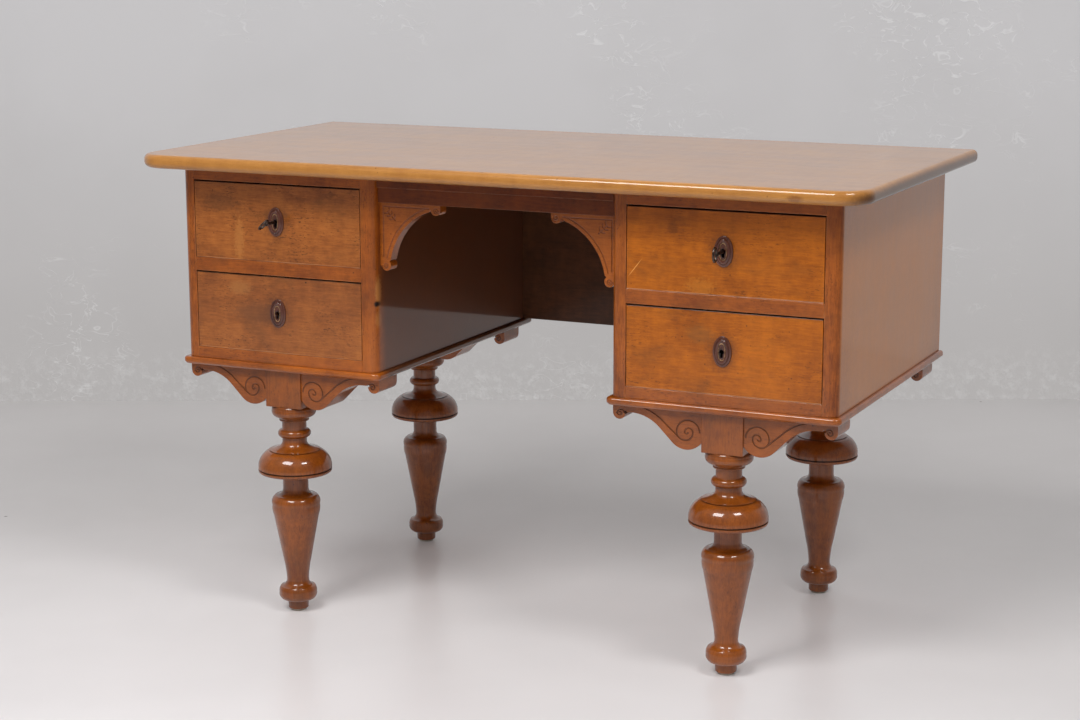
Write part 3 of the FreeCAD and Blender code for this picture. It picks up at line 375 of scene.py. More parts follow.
@dataclass(frozen=True)
class Wood:
    """Polished wood: clouds, streaks, fibres and pores along the grain under a thin varnish."""

    name: str
    slot: Slot
    grain: Grain
    pale: Screen
    deep: Screen
    pore: Screen = (52, 24, 9)
    # Pale colour of rubbed edges, and of the lower edge's line, which is wear and a painted highlight.
    worn: Screen = (212, 150, 100)
    stain: Screen = (96, 60, 26)
    # Painted shade inside the kneehole.
    kneehole_shade_colour: Screen = (94, 56, 35)
    # Darkening in the grooves: dirt and painted shade.
    dirt: Screen = (38, 18, 9)
    shadow: Screen = (24, 11, 6)
    figure: float = 0.08
    streaks: float = 0.55
    clouds: float = 1.0
    stains: float = 0.3
    dashes: float = 0.5
    mottle: float = 0.55
    fibres: float = 0.3
    roughness: float = 0.42
    coat: float = 0.9
    coat_roughness: float = 0.1
    wear: float = 0.5
    # Strength of the pale lower edge: wear and a painted highlight.
    lip: float = 0.0
    # Strength of the painted shadow along the top edge, for the gap above a drawer.
    painted_gap_shadow: float = 0.0
    # Strength of the groove darkening: dirt and painted shade.
    grime_and_shade: float = 0.75
    # Whether shade is painted inside the kneehole.
    kneehole: bool = False
    relief: float = 0.07 * MM
    marks: tuple[Mark, ...] = ()

    def material(self) -> bpy.types.Material:
        """Make the finish.

        Returns:
            The material of this wood.
        """
        bench = Bench(self.name)
        clouds = bench.noise(bench.place, 8.0, 4.0, 0.6)
        blotches = bench.noise(bench.along(self.grain, 0.55), 24.0, 4.0, 0.6, 0.5)
        contours = bench.noise(bench.along(self.grain, 0.13, 0.03), 7.0, 2.5, 0.45, 0.35)
        rings = (contours * 62.0).sine() * 0.5 + 0.5
        streaks = bench.noise(bench.along(self.grain, 0.1, 0.01), 330.0, 4.0, 0.7, 0.3)
        mottle = bench.noise(bench.along(self.grain, 0.8), 75.0, 4.0, 0.7)
        ripple = bench.noise(bench.along(self.grain, 5.0), 15.0, 2.0)
        fibres = bench.noise(bench.along(self.grain, 0.06), 620.0, 3.0, 0.7)
        banks = bench.noise(bench.place, 19.0, 2.0, 0.6).between(0.4, 0.66)
        dashes = bench.noise(bench.along(self.grain, 0.25), 620.0, 2.0, 0.65).between(0.56, 0.68) * banks
        tone = 0.5 + (rings - 0.5) * self.figure + (streaks - 0.5) * self.streaks
        tone = tone + (clouds - 0.5) * self.clouds + (ripple - 0.5) * 0.25 + (mottle - 0.5) * self.mottle
        tone = tone + (fibres - 0.5) * self.fibres
        colour = bench.blend(paint(self.deep), paint(self.pale), tone.between(0.0, 1.0))
        colour = bench.blend(colour, paint(self.stain), blotches.between(0.5, 0.75) * self.stains)
        colour = bench.blend(colour, paint(self.pore), dashes * self.dashes)
        colour = bench.blend(colour, paint(self.pore), self.specks(bench))
        for mark in self.marks:
            colour = mark.lay(bench, colour)
        # Painted shade inside the kneehole.
        if self.kneehole:
            colour = bench.blend(colour, paint(self.kneehole_shade_colour), self.kneehole_shade_mask(bench) * 0.92)
        # Dirt and painted shade in the grooves.
        dirt = bench.attribute("grime_and_shade").least(1.0) * self.grime_and_shade
        colour = bench.blend(colour, paint(self.dirt), dirt)
        # Painted shadow along the top edge, for the gap above a drawer.
        if self.painted_gap_shadow:
            *_, under = bench.parts(bench.below_box())
            gap_shade = 1.0 - under.between(0.6 * MM, 1.6 * MM)
            colour = bench.blend(colour, paint(self.shadow), gap_shade * self.painted_gap_shadow)
        # Rubbed edges, and a pale lower edge that is wear and a painted highlight.
        rubbed = self.wear_and_highlight(bench)
        colour = bench.blend(colour, paint(self.worn), rubbed)
        rough = self.roughness + (streaks - 0.5) * 0.12 + (clouds - 0.5) * 0.16 + dirt * 0.3 + rubbed * 0.15
        relief = fibres * 0.35 + (1.0 - dashes) * 0.35 + streaks * 0.3
        sockets = {
            "Base Color": colour,
            "Roughness": rough,
            "Coat Weight": self.coat * (1.0 - dirt * 0.7),
            "Coat Roughness": self.coat_roughness,
            "Specular IOR Level": 0.15,
        }
        return bench.finish(sockets, relief, self.relief)

    def specks(self, bench: Bench) -> Signal:
        """Scatter small dark dents and worm specks thinly.

        Args:
            bench: Tree of the finish.

        Returns:
            How dark a point is.
        """
        spots = bench.signal("ShaderNodeTexVoronoi", None, {"Vector": bench.place, "Scale": 75.0}, "Distance")
        thin = bench.noise(bench.place, 21.0, 1.0).between(0.52, 0.66)
        return (1.0 - spots.between(0.05, 0.13)) * thin * 0.65

    def kneehole_shade_mask(self, bench: Bench) -> Signal:
        """Tell how far inside the kneehole a point lies, where shade is painted into the wood."""
        x, y, _ = bench.parts(bench.place)
        return (1.0 - x.size().between(205 * MM, 211 * MM)) * y.between(-246 * MM, -214 * MM)

    def wear_and_highlight(self, bench: Bench) -> Signal:
        """Find the edges, where hands and cloths have rubbed the varnish off, and the pale line along the
        lower edge, which is wear and a painted highlight.

        Args:
            bench: Tree of the finish.

        Returns:
            How much pale wear and painted highlight a point takes.
        """
        if not self.wear and not self.lip:
            return bench.math("MULTIPLY", 0.0, 0.0)
        uneven = bench.noise(bench.place, 38.0, 4.0, 0.65)
        reach = bench.rim() + (0.5 - uneven) * 5.0 * MM
        edges = (1.0 - reach.between(0.1 * MM, 1.1 * MM)) * self.wear
        *_, up = bench.parts(bench.above_box())
        broken = bench.noise(bench.along(self.grain, 0.25), 60.0, 3.0).between(0.34, 0.56)
        return edges.most((1.0 - up.between(0.5 * MM, 1.5 * MM)) * broken * self.lip)


@dataclass(frozen=True)
class RawWood:
    """Bare softwood inside the desk, darkened by age, with growth rings and dust."""

    name: str
    slot: Slot
    grain: Grain
    pale: Screen = (186, 146, 98)
    deep: Screen = (142, 98, 58)
    dusty: Screen = (96, 70, 46)

    def material(self) -> bpy.types.Material:
        """Make the finish.

        Returns:
            The material of the bare wood.
        """
        bench = Bench(self.name)
        contours = bench.noise(bench.along(self.grain, 0.08, 0.02), 9.0, 2.0, 0.4, 0.2)
        rings = ((contours * 96.0).sine() * 0.5 + 0.5) ** 2.2
        fibres = bench.noise(bench.along(self.grain, 0.03), 500.0, 3.0, 0.7)
        dust = bench.noise(bench.place, 11.0, 4.0, 0.6)
        colour = bench.blend(paint(self.pale), paint(self.deep), rings * 0.6 + (fibres - 0.5) * 0.5)
        colour = bench.blend(colour, paint(self.dusty), dust.between(0.45, 0.8) * 0.55)
        sockets = {"Base Color": colour, "Roughness": 0.72 + (fibres - 0.5) * 0.2}
        return bench.finish(sockets, fibres, 0.2 * MM)


@dataclass(frozen=True)
class Metal:
    """Old metal: tarnish in clouds over fine scratches."""

    name: str
    slot: Slot
    bright: Screen
    tarnish: Screen
    roughness: float

    def material(self) -> bpy.types.Material:
        """Make the finish.

        Returns:
            The material of this metal.
        """
        bench = Bench(self.name)
        clouds = bench.noise(bench.place, 210.0, 4.0, 0.6)
        scratches = bench.noise(bench.along(Grain.ACROSS, 0.05), 2400.0, 2.0, 0.6)
        colour = bench.blend(paint(self.bright), paint(self.tarnish), clouds.between(0.38, 0.68))
        sockets = {
            "Base Color": colour,
            "Metallic": 1.0,
            "Roughness": self.roughness + clouds.between(0.4, 0.75) * 0.25 + (scratches - 0.5) * 0.1,
        }
        return bench.finish(sockets, scratches, 0.03 * MM)


@dataclass(frozen=True)
class Cloth:
    """Pressed felt under the feet."""

    name: str
    slot: Slot
    colour: Screen
    soiled: Screen

    def material(self) -> bpy.types.Material:
        """Make the finish.

        Returns:
            The material of the felt.
        """
        bench = Bench(self.name)
        tufts = bench.noise(bench.place, 1500.0, 4.0, 0.7)
        soil = bench.noise(bench.place, 90.0, 3.0)
        colour = bench.blend(paint(self.colour), paint(self.soiled), soil.between(0.35, 0.7))
        return bench.finish({"Base Color": colour, "Roughness": 0.95}, tufts, 0.25 * MM)


Finish = Wood | RawWood | Metal | Cloth


@dataclass(frozen=True)
class Plaster:
    """A painted wall with patches of fine trowel strokes carrying painted glints, a rough foot, and painted
    shade darkening it towards the floor.
    """

    name: str
    colour: Screen
    shaded_low_colour: Screen
    own_light: float
    clouded: Screen = (164, 161, 160)
    glint_and_foot_white: Screen = (255, 255, 255)

    def material(self) -> bpy.types.Material:
        """Make the finish.

        Returns:
            The material of the wall.
        """
        bench = Bench(self.name)
        _, _, height = bench.parts(bench.place)
        clouds = bench.noise(bench.place, 1.7, 4.0, 0.6)
        field = bench.noise(bench.along(Grain.ACROSS, 0.35, 0.6), 30.0, 2.0, 0.5, 0.8)
        lines = 1.0 - (field - 0.5).size().between(0.0, 0.02)
        patches = bench.noise(bench.place, 2.4, 4.0, 0.65).between(0.5, 0.66)
        strokes = lines * patches
        rough = bench.noise(bench.place, 46.0, 5.0, 0.7).between(0.42, 0.7)
        foot = (1.0 - height.between(0.05, 0.15)) * rough
        # Painted shade: the wall darkens towards the floor.
        colour = bench.blend(paint(self.shaded_low_colour), paint(self.colour), height.between(0.0, 0.95))
        colour = bench.blend(colour, paint(self.clouded), (clouds - 0.45) * 0.5)
        # Painted glints on the trowel strokes, and a paler rough foot.
        colour = bench.blend(colour, paint(self.glint_and_foot_white), strokes * 0.2 + foot * 0.13)
        sockets = {"Base Color": colour, "Roughness": 0.6}
        shader = bench.surface(sockets, strokes * 0.5 + foot, 2.0 * MM)
        return bench.stage_finish(shader, colour, self.own_light)


@dataclass(frozen=True)
class FloorPaint:
    """Pale floor paint with a soft shine and a painted pool of light towards the front, scuffed here and
    there.
    """

    name: str
    colour: Screen
    lit_near_colour: Screen
    roughness: float
    own_light: float
    front: tuple[float, float, float]
    clouded: Screen = (150, 145, 143)
    scuffed: Screen = (96, 88, 82)

    def material(self) -> bpy.types.Material:
        """Make the finish.

        Returns:
            The material of the floor.
        """
        bench = Bench(self.name)
        clouds = bench.noise(bench.place, 1.1, 4.0, 0.55)
        scuffs = bench.noise(bench.place, 14.0, 5.0, 0.7)
        reach = bench.vector_math("DISTANCE", bench.place, Vector(self.front), output=1)
        spots = bench.signal("ShaderNodeTexVoronoi", None, {"Vector": bench.place, "Scale": 5.0}, "Distance")
        # Painted light: the floor is paler near the front point.
        colour = bench.blend(paint(self.lit_near_colour), paint(self.colour), reach.between(0.5, 2.1))
        colour = bench.blend(colour, paint(self.clouded), (clouds - 0.42) * 0.5)
        colour = bench.blend(colour, paint(self.scuffed), (1.0 - spots.between(0.012, 0.022)) * 0.6)
        sockets = {"Base Color": colour, "Roughness": self.roughness + (scuffs - 0.5) * 0.04}
        return bench.stage_finish(bench.surface(sockets, None, 0.0), colour, self.own_light)


class Finishes:
    """Every finish of the desk, each made once."""

    drawer_face = -0.2525
    keyhole_middle = 0.384
    keyhole_heights = (0.66415, 0.51365)

    def __init__(self) -> None:
        """Mix the finishes."""
        self.made: dict[str, bpy.types.Material] = {}
        self.raw = {grain: RawWood("raw_" + grain.name.lower(), Slot.INSIDE, grain) for grain in Grain}
        self.brass = Metal("old_brass", Slot.BRASS, (196, 158, 118), (110, 80, 56), 0.32)
        self.iron = Metal("key_iron", Slot.STEEL, (98, 88, 82), (40, 33, 29), 0.28)
        self.felt = Cloth("felt", Slot.FELT, (196, 188, 172), (150, 140, 124))
        self.mix_top()
        self.mix_fronts()
        self.mix_case()
        self.mix_carved()
        # Each plate's black marks are painted shade for the dark inside of its keyholes.
        self.plate = Wood(
            "keyhole_plates", Slot.DARK, Grain.UPRIGHT, (106, 58, 42), (54, 28, 22), pore=(30, 14, 10),
            wear=0.0, roughness=0.34, coat=1.0, coat_roughness=0.06, marks=tuple(
                Mark((middle, -0.2555, height - 0.002), (0.0052, 0.1, 0.0108), (14, 8, 6), 1.0, 0.1)
                for middle in (-self.keyhole_middle, self.keyhole_middle)
                for height in self.keyhole_heights))

    def mix_top(self) -> None:
        """Mix the finish of the writing top, with painted shade at its right end, where less light falls."""
        self.top = Wood(
            "honey_top", Slot.TOP, Grain.ACROSS, (196, 137, 66), (150, 95, 40), roughness=0.36, wear=0.12,
            coat=0.88, coat_roughness=0.045, streaks=0.4, clouds=0.6, mottle=0.25, stains=0.12, dashes=0.1,
            relief=0.005 * MM, marks=(
                # Painted shade at the top's right end, where less light falls.
                Mark((0.626, 0.0, 0.755), (0.052, 0.8, 0.017), (84, 50, 22), 0.95, 0.25),
                Mark((0.514, -0.316, 0.756), (0.016, 0.01, 0.007), (112, 64, 26), 0.6),
            ))

    def mix_fronts(self) -> None:
        """Mix the finishes of the drawer fronts, each side with its own stains and scratches."""
        shared = {"slot": Slot.FRONT, "grain": Grain.ACROSS, "streaks": 0.75, "wear": 0.1}
        left = (
            *self.keyhole_marks(-self.keyhole_middle),
            self.front_mark(-0.384, 0.511, 0.27, 0.12, (112, 64, 38), 0.24),
            self.front_mark(-0.456, 0.632, 0.012, 0.05, (190, 122, 56), 0.5, 1.4),
            self.front_mark(-0.49, 0.69, 0.05, 0.022, (88, 50, 24), 0.45),
            self.front_mark(-0.42, 0.512, 0.07, 0.026, (92, 56, 34), 0.5),
            self.front_mark(-0.457, 0.552, 0.03, 0.016, (176, 116, 58), 0.4),
            self.front_mark(-0.3313, 0.5683, 0.0018, 0.0018, (26, 14, 8), 1.0, 0.2),
        )
        right = (
            *self.keyhole_marks(self.keyhole_middle),
            self.front_mark(0.304, 0.695, 0.012, 0.012, (96, 48, 14), 0.5),
            self.front_mark(0.349, 0.537, 0.03, 0.02, (120, 78, 34), 0.45),
            self.front_mark(0.348, 0.608, 0.03, 0.02, (206, 130, 40), 0.3, 1.4),
            self.front_mark(0.2442, 0.6316, 0.0008, 0.022, (226, 158, 78), 1.0, 0.25, -38.3),
        )
        self.fronts = {
            "left": Wood(
                "left_fronts", pale=(183, 107, 42), deep=(114, 58, 20), stains=0.35, lip=0.75, painted_gap_shadow=0.8,
                dashes=0.75, marks=left, **shared),
            "right": Wood(
                "right_fronts", pale=(197, 108, 14), deep=(131, 64, 6), lip=0.95, painted_gap_shadow=0.9, coat=0.6,
                marks=right, **shared),
        }

    def mix_case(self) -> None:
        """Mix the finishes of the pedestals and of the rails over the kneehole."""
        case = {"slot": Slot.CASE, "pale": (178, 95, 24), "deep": (110, 50, 10)}
        # The inner sides and the mouldings take painted shade inside the kneehole.
        side = {**case, "grain": Grain.UPRIGHT, "wear": 0.2, "kneehole": True, "coat_roughness": 0.07}
        self.rail = Wood("rails", grain=Grain.ACROSS, **case, wear=0.15)
        self.moulding = Wood(
            "mouldings", grain=Grain.ACROSS, **case, wear=0.2, kneehole=True, coat=1.0, coat_roughness=0.05)
        self.side = Wood("pedestal_sides", streaks=1.0, **side, marks=tuple(
            Mark((0.564 * way, 0.04, 0.6), (0.0015, 0.52, 0.5), (194, 122, 44), 0.7, 0.3) for way in (-1, 1)))
        self.worn_side = Wood("worn_side", **side, marks=(
            Mark((-0.2045, -0.240, 0.560), (0.005, 0.012, 0.034), (186, 124, 66), 0.85),
            Mark((-0.2045, -0.240, 0.516), (0.005, 0.012, 0.018), (178, 116, 62), 0.7),
            Mark((-0.2055, -0.246, 0.541), (0.0042, 0.02, 0.0065), (26, 14, 9), 1.0, 0.3),
        ))
        # Painted shade: the kneehole's back panel takes a darker copy of the case wood.
        self.shaded = Wood(
            "kneehole_shaded_wood", Slot.CASE, Grain.ACROSS, (104, 62, 36), (62, 37, 22), wear=0.1, coat=0.3,
            coat_roughness=0.14)
        # The rails over the kneehole are darker, partly as painted shade under the top's overhang.
        self.apron = Wood(
            "apron_rails", Slot.CASE, Grain.ACROSS, (128, 58, 8), (66, 27, 4), wear=0.1, coat=0.5)

    def mix_carved(self) -> None:
        """Mix the finishes of the legs, brackets and spandrels, and of the cuts in them."""
        crisp = {"slot": Slot.CASE, "grain": Grain.ACROSS, "wear": 0.0, "coat_roughness": 0.07}
        cut = {**crisp, "roughness": 0.4, "coat": 1.0}
        self.turned = Wood(
            "turned_legs", Slot.LEG, Grain.UPRIGHT, (160, 85, 22), (102, 47, 9), wear=0.0,
            roughness=0.38, coat=1.0, coat_roughness=0.06, streaks=0.7, clouds=0.8)
        self.carved = Wood("carved_brackets", pale=(168, 89, 26), deep=(106, 50, 11), **crisp)
        # The cut faces are darker, as grime and painted shade in the grooves.
        self.cuts = Wood("carved_cuts", pale=(128, 68, 26), deep=(78, 38, 13), **cut)
        self.fretted = Wood("fretted_corners", pale=(180, 96, 26), deep=(116, 56, 11), **crisp)
        self.fretted_cuts = Wood("fretted_cuts", pale=(158, 84, 30), deep=(104, 52, 18), **cut)

    def front_mark(
        self, across: float, height: float, reach: float, rise: float, colour: Screen, strength: float,
        ragged: float = 0.7, lean: float = 0.0
    ) -> Mark:
        """Place a mark on the face of a drawer front.

        Args:
            across: Place from the middle of the desk.
            height: Place above the floor.
            reach: Half its width.
            rise: Half its height.
            colour: Colour of the mark.
            strength: How much it covers.
            ragged: How uneven its border is.
            lean: Angle that it is turned by.

        Returns:
            The mark.
        """
        centre = (across, self.drawer_face, height)
        return Mark(centre, (reach, 0.01, rise), colour, strength, ragged, lean)

    def keyhole_marks(self, middle: float) -> list[Mark]:
        """Give the dirt round the two keyholes of a pedestal and the painted shade inside each hole.

        Args:
            middle: Place of the keyholes from the middle of the desk.

        Returns:
            The marks.
        """
        made = []
        for height in self.keyhole_heights:
            dirt_at = (middle, self.drawer_face, height)
            made.append(Mark(dirt_at, (0.034, 0.02, 0.038), (84, 46, 22), 0.5))
            # Painted shade for the dark inside of the keyhole.
            made.append(Mark((middle, -0.25, height - 0.003), (0.008, 0.1, 0.014), (18, 10, 7), 1.0, 0.0))
        return made

    def of(self, finish: Finish) -> bpy.types.Material:
        """Give the material of a finish, made on first use."""
        if finish.name not in self.made:
            self.made[finish.name] = finish.material()
        return self.made[finish.name]

    def pair(self, outer: Finish, cuts: Finish) -> list[bpy.types.Material]:
        """Give the materials of a carved piece: its skin, and the cuts in it."""
        return [self.of(outer), self.of(cuts)]


class Blank:
    """A workpiece: a mesh that bmesh operators shape."""

    def __init__(self) -> None:
        """Start with no material on the bench."""
        self.mesh = bmesh.new()

    def block(self, low: Vector, high: Vector) -> None:
        """Add a squared block between two corners."""
        middle = Matrix.Translation((low + high) / 2)
        bmesh.ops.create_cube(self.mesh, size=1.0, matrix=middle @ Matrix.Diagonal((*(high - low), 1.0)))

    def add_mesh(self, mesh: bpy.types.Mesh) -> None:
        """Add a copy of a mesh."""
        self.mesh.from_mesh(mesh)

    def edges_where(self, test: Callable[[bmesh.types.BMEdge], bool]) -> list[bmesh.types.BMEdge]:
        """Find the edges that pass a test."""
        return [edge for edge in self.mesh.edges if test(edge)]

    def sharp_edges(self, least: float = SHARP_ANGLE) -> list[bmesh.types.BMEdge]:
        """Find the edges whose two faces meet at more than an angle."""
        return self.edges_where(lambda edge: edge.is_manifold and edge.calc_face_angle() > least)

    def bevel(self, edges: list[bmesh.types.BMEdge], width: float, steps: int) -> None:
        """Round edges.

        Args:
            edges: Edges to round.
            width: How far the round reaches from the edge.
            steps: Number of faces over the round.
        """
        bmesh.ops.bevel(
            self.mesh, geom=edges, offset=width, offset_type="OFFSET", segments=steps, profile=0.5,
            affect="EDGES", clamp_overlap=True, material=-1)

    def move(self, change: Matrix) -> None:
        """Move or turn the whole workpiece."""
        bmesh.ops.transform(self.mesh, matrix=change, verts=self.mesh.verts)

    def spin_solid(self, axis: Vector, steps: int, least: float = SAME_PLACE) -> None:
        """Turn the drawn profile right round an axis through the origin.

        Args:
            axis: Axis of the turning.
            steps: Number of faces around.
            least: Distance under which points are joined.
        """
        bmesh.ops.spin(
            self.mesh, geom=self.mesh.verts[:] + self.mesh.edges[:], cent=(0, 0, 0), axis=axis,
            angle=math.tau, steps=steps, use_merge=True, use_duplicate=False)
        self.weld(least)

    def mirrored(self) -> "Blank":
        """Give a copy that is mirrored left to right about X = 0."""
        twin = Blank()
        twin.mesh = self.mesh.copy()
        twin.move(Matrix.Diagonal((-1.0, 1.0, 1.0, 1.0)))
        bmesh.ops.reverse_faces(twin.mesh, faces=twin.mesh.faces)
        return twin

    def weld(self, distance: float = SAME_PLACE) -> None:
        """Join points that lie together, and turn all faces outwards."""
        bmesh.ops.remove_doubles(self.mesh, verts=self.mesh.verts, dist=distance)
        bmesh.ops.recalc_face_normals(self.mesh, faces=self.mesh.faces)

    def to_mesh(self, name: str) -> bpy.types.Mesh:
        """Finish the workpiece, with smooth faces and sharp corners.

        Args:
            name: Name of the mesh.

        Returns:
            The workpiece as a mesh.
        """
        for face in self.mesh.faces:
            face.smooth = True
        for edge in self.mesh.edges:
            edge.smooth = not (edge.is_manifold and edge.calc_face_angle() > SHARP_ANGLE)
        made = bpy.data.meshes.new(name)
        self.mesh.to_mesh(made)
        self.mesh.free()
        return made


class Fret:
    """A flat outline in the XZ plane, drawn with lines and spun arcs and then raised to a slab."""

    def __init__(self, start: Vector) -> None:
        """Put the pencil down at a point."""
        self.blank = Blank()
        self.first = self.blank.mesh.verts.new(start)
        self.last = self.first

    def line(self, end: Vector) -> None:
        """Draw a straight line to a point."""
        reached = self.blank.mesh.verts.new(end)
        self.blank.mesh.edges.new((self.last, reached))
        self.last = reached

    def turn(self, centre: Vector, degrees: float, steps: int) -> None:
        """Draw an arc about a centre, counter-clockwise as seen from the front if positive.

        Args:
            centre: Centre of the arc.
            degrees: Angle of the arc.
            steps: Number of straight pieces.
        """
        made = bmesh.ops.spin(
            self.blank.mesh, geom=[self.last], cent=centre, axis=DEPTH_AXIS, angle=math.radians(degrees),
            steps=steps, use_merge=False, use_duplicate=False)
        self.last = next(item for item in made["geom_last"] if isinstance(item, bmesh.types.BMVert))

    def swell(self, end: Vector, share: float, steps: int) -> None:
        """Draw an arc to a point that swells to the right of its way by a share of its length."""
        if not share:
            self.line(end)
            return
        chord = end - self.last.co
        angle = 4 * math.atan(2 * share)
        leftward = Vector((-chord.z, 0, chord.x))
        centre = (end + self.last.co) / 2 + leftward / (2 * math.tan(angle / 2))
        self.turn(centre, math.degrees(angle), steps)

    def raise_slab(self, depth: float) -> Blank:
        """Close the outline and raise it towards the back.

        Args:
            depth: Thickness of the slab.

        Returns:
            The slab, with its front on Y = 0.
        """
        mesh = self.blank.mesh
        self.line(self.first.co.copy())
        bmesh.ops.remove_doubles(mesh, verts=mesh.verts, dist=SAME_PLACE)
        bmesh.ops.contextual_create(mesh, geom=mesh.edges)
        raised = bmesh.ops.extrude_face_region(mesh, geom=mesh.faces, use_keep_orig=True)
        moved = [item for item in raised["geom"] if isinstance(item, bmesh.types.BMVert)]
        bmesh.ops.translate(mesh, verts=moved, vec=Vector((0, depth, 0)))
        bmesh.ops.recalc_face_normals(mesh, faces=mesh.faces)
        return self.blank


def box_of(node: str) -> tuple[Vector, Vector]:
    """Give the lowest and highest corners of a CAD node."""
    low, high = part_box(node)
    return Vector(low), Vector(high)


def new_object(name: str, data: bpy.types.ID) -> bpy.types.Object:
    """Put an object into the scene at the origin."""
    made = bpy.data.objects.new(name, data)
    bpy.context.scene.collection.objects.link(made)
    return made


def baked(thing: bpy.types.Object, name: str) -> bpy.types.Mesh:
    """Give an object's mesh with its modifiers or bevel worked in, and take the object away.

    Args:
        thing: The object.
        name: Name of the mesh.

    Returns:
        The finished mesh.
    """
    bpy.context.view_layer.update()
    mesh = bpy.data.meshes.new_from_object(thing.evaluated_get(bpy.context.evaluated_depsgraph_get()))
    mesh.name = name
    bpy.data.objects.remove(thing)
    return mesh


def round_bar(name: str, points: Sequence[Vector], radius: float, closed: bool = False) -> bpy.types.Mesh:
    """Make a round bar along points.

    Args:
        name: Name of the mesh.
        points: Points of its middle line.
        radius: Radius of the bar.
        closed: Whether the bar is a ring.

    Returns:
        The bar's mesh.
    """
    line = bpy.data.curves.new(name, "CURVE")
    line.dimensions = "3D"
    line.bevel_depth = radius
    line.bevel_resolution = 3
    line.use_fill_caps = not closed
    run = line.splines.new("POLY")
    run.points.add(len(points) - 1)
    for knot, place in zip(run.points, points):
        knot.co = (*place, 1.0)
    run.use_cyclic_u = closed
    bar = Blank()
    bar.add_mesh(baked(new_object(name, line), name))
    bar.weld()
    return bar.to_mesh(name)


def ring_of(steps: int, centre: Vector, across: Vector, upward: Vector, power: float = 1.0) -> list[Vector]:
    """Give points round an oval.

    Args:
        steps: Number of points.
        centre: Middle of the oval.
        across: Its first half axis.
        upward: Its second half axis.
        power: 1 for an ellipse, less for a squarer form.

    Returns:
        The points.
    """
    points = []
    for step in range(steps):
        angle = math.tau * step / steps
        level, rise = (
            math.copysign(abs(part) ** power, part) for part in (math.cos(angle), math.sin(angle)))
        points.append(centre + across * level + upward * rise)
    return points


def half_turns(start: Vector, radii: Sequence[float], reach: int, rise: int, steps: int) -> list[Vector]:
    """Follow a spiral of half turns that shrink.

    Args:
        start: Where the line starts.
        radii: Radius of each half turn.
        reach: 1 if the first half turn goes to the right, -1 to the left.
        rise: 1 if it goes over the top, -1 underneath.
        steps: Number of points to a half turn.

    Returns:
        Points along the spiral.
    """
    points = [start]
    for radius in radii:
        centre = points[-1] + Vector((reach * radius, 0, 0))
        for step in range(1, steps + 1):
            angle = math.pi * step / steps
            points.append(centre + Vector((-reach * math.cos(angle), 0, rise * math.sin(angle))) * radius)
        reach, rise = -reach, -rise
    return points


def carve(
    mesh: bpy.types.Mesh, cutters: Sequence[bpy.types.Mesh], finishes: Sequence[bpy.types.Material]
) -> bpy.types.Mesh:
    """Cut a mesh with others; the cut faces take the finish of the cuts.

    Args:
        mesh: Mesh to cut.
        cutters: Closed meshes that are taken away.
        finishes: Materials of the mesh's skin and of the cut faces.

    Returns:
        The carved mesh.
    """
    name = mesh.name
    mesh.materials.append(finishes[0])
    for cutter in cutters:
        work = new_object(name + "_work", mesh)
        tool = new_object(name + "_tool", cutter)
        cutter.materials.append(finishes[1])
        step = work.modifiers.new("cut", "BOOLEAN")
        step.operation = "DIFFERENCE"
        step.solver = "MANIFOLD"
        step.object = tool
        step.material_mode = "TRANSFER"
        mesh = baked(work, name)
        bpy.data.objects.remove(tool)
    return mesh


@dataclass
class Assembly:
    """A group of pieces that share a place in the desk, with the finishes that they are dressed with."""

    finishes: Finishes

    def deliver(
        self, name: str, mesh: bpy.types.Mesh, finish: Finish, nodes: Sequence[str], body: str = "root",
        ease: float = 0.0
    ) -> bpy.types.Object:
        """Turn a mesh into a finished piece of the desk.

        Args:
            name: Name of the piece.
            mesh: Its mesh, in place.
            finish: Its finish.
            nodes: CAD nodes that it stands for.
            body: CAD body that it moves with.
            ease: Width of the softened edges, or 0 where they are modelled.

        Returns:
            The piece.
        """
        piece = new_object(name, mesh)
        material = self.finishes.of(finish)
        if mesh.materials:
            mesh.materials[0] = material
        else:
            mesh.materials.append(material)
        if ease:
            soft = piece.modifiers.new("eased", "BEVEL")
            soft.width = ease
            soft.segments = 2
            soft.limit_method = "ANGLE"
            soft.angle_limit = SHARP_ANGLE
            soft.use_clamp_overlap = True
        weight = piece.modifiers.new("faces", "WEIGHTED_NORMAL")
        weight.keep_sharp = True
        self.mark_box(mesh)
        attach(piece, body)
        if nodes:
            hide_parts(*nodes)
        log.info("%s: %d faces, rides on %s", name, len(mesh.polygons), body)
        return piece

    def mark_box(self, mesh: bpy.types.Mesh) -> None:
        """Write the piece's own box on its points, for the wear along its edges.

        Args:
            mesh: Mesh of the piece.
        """
        corners = [vertex.co for vertex in mesh.vertices]
        low = Vector(min(corner[axis] for corner in corners) for axis in range(3))
        high = Vector(max(corner[axis] for corner in corners) for axis in range(3))
        for name, corner in (("box_low", low), ("box_high", high)):
            layer = mesh.attributes.new(name, "FLOAT_VECTOR", "POINT")
            layer.data.foreach_set("vector", list(corner) * len(mesh.vertices))

    def ease_node(
        self, node: str, finish: Finish, body: str = "root", ease: float = 0.7 * MM
    ) -> bpy.types.Object:
        """Dress a copy of a CAD node, merged and with softened edges.

        Args:
            node: The CAD node.
            finish: Finish of the copy.
            body: CAD body that it moves with.
            ease: Width of the softened edges.

        Returns:
            The piece.
        """
        blank = Blank()
        blank.add_mesh(frame["nodes"][node].data)
        blank.weld()
        bmesh.ops.dissolve_limit(
            blank.mesh, angle_limit=math.radians(0.4), verts=blank.mesh.verts, edges=blank.mesh.edges)
        mesh = blank.to_mesh(node + "_eased")
        mesh.materials.clear()
        return self.deliver(node + "_eased", mesh, finish, [node], body, ease)


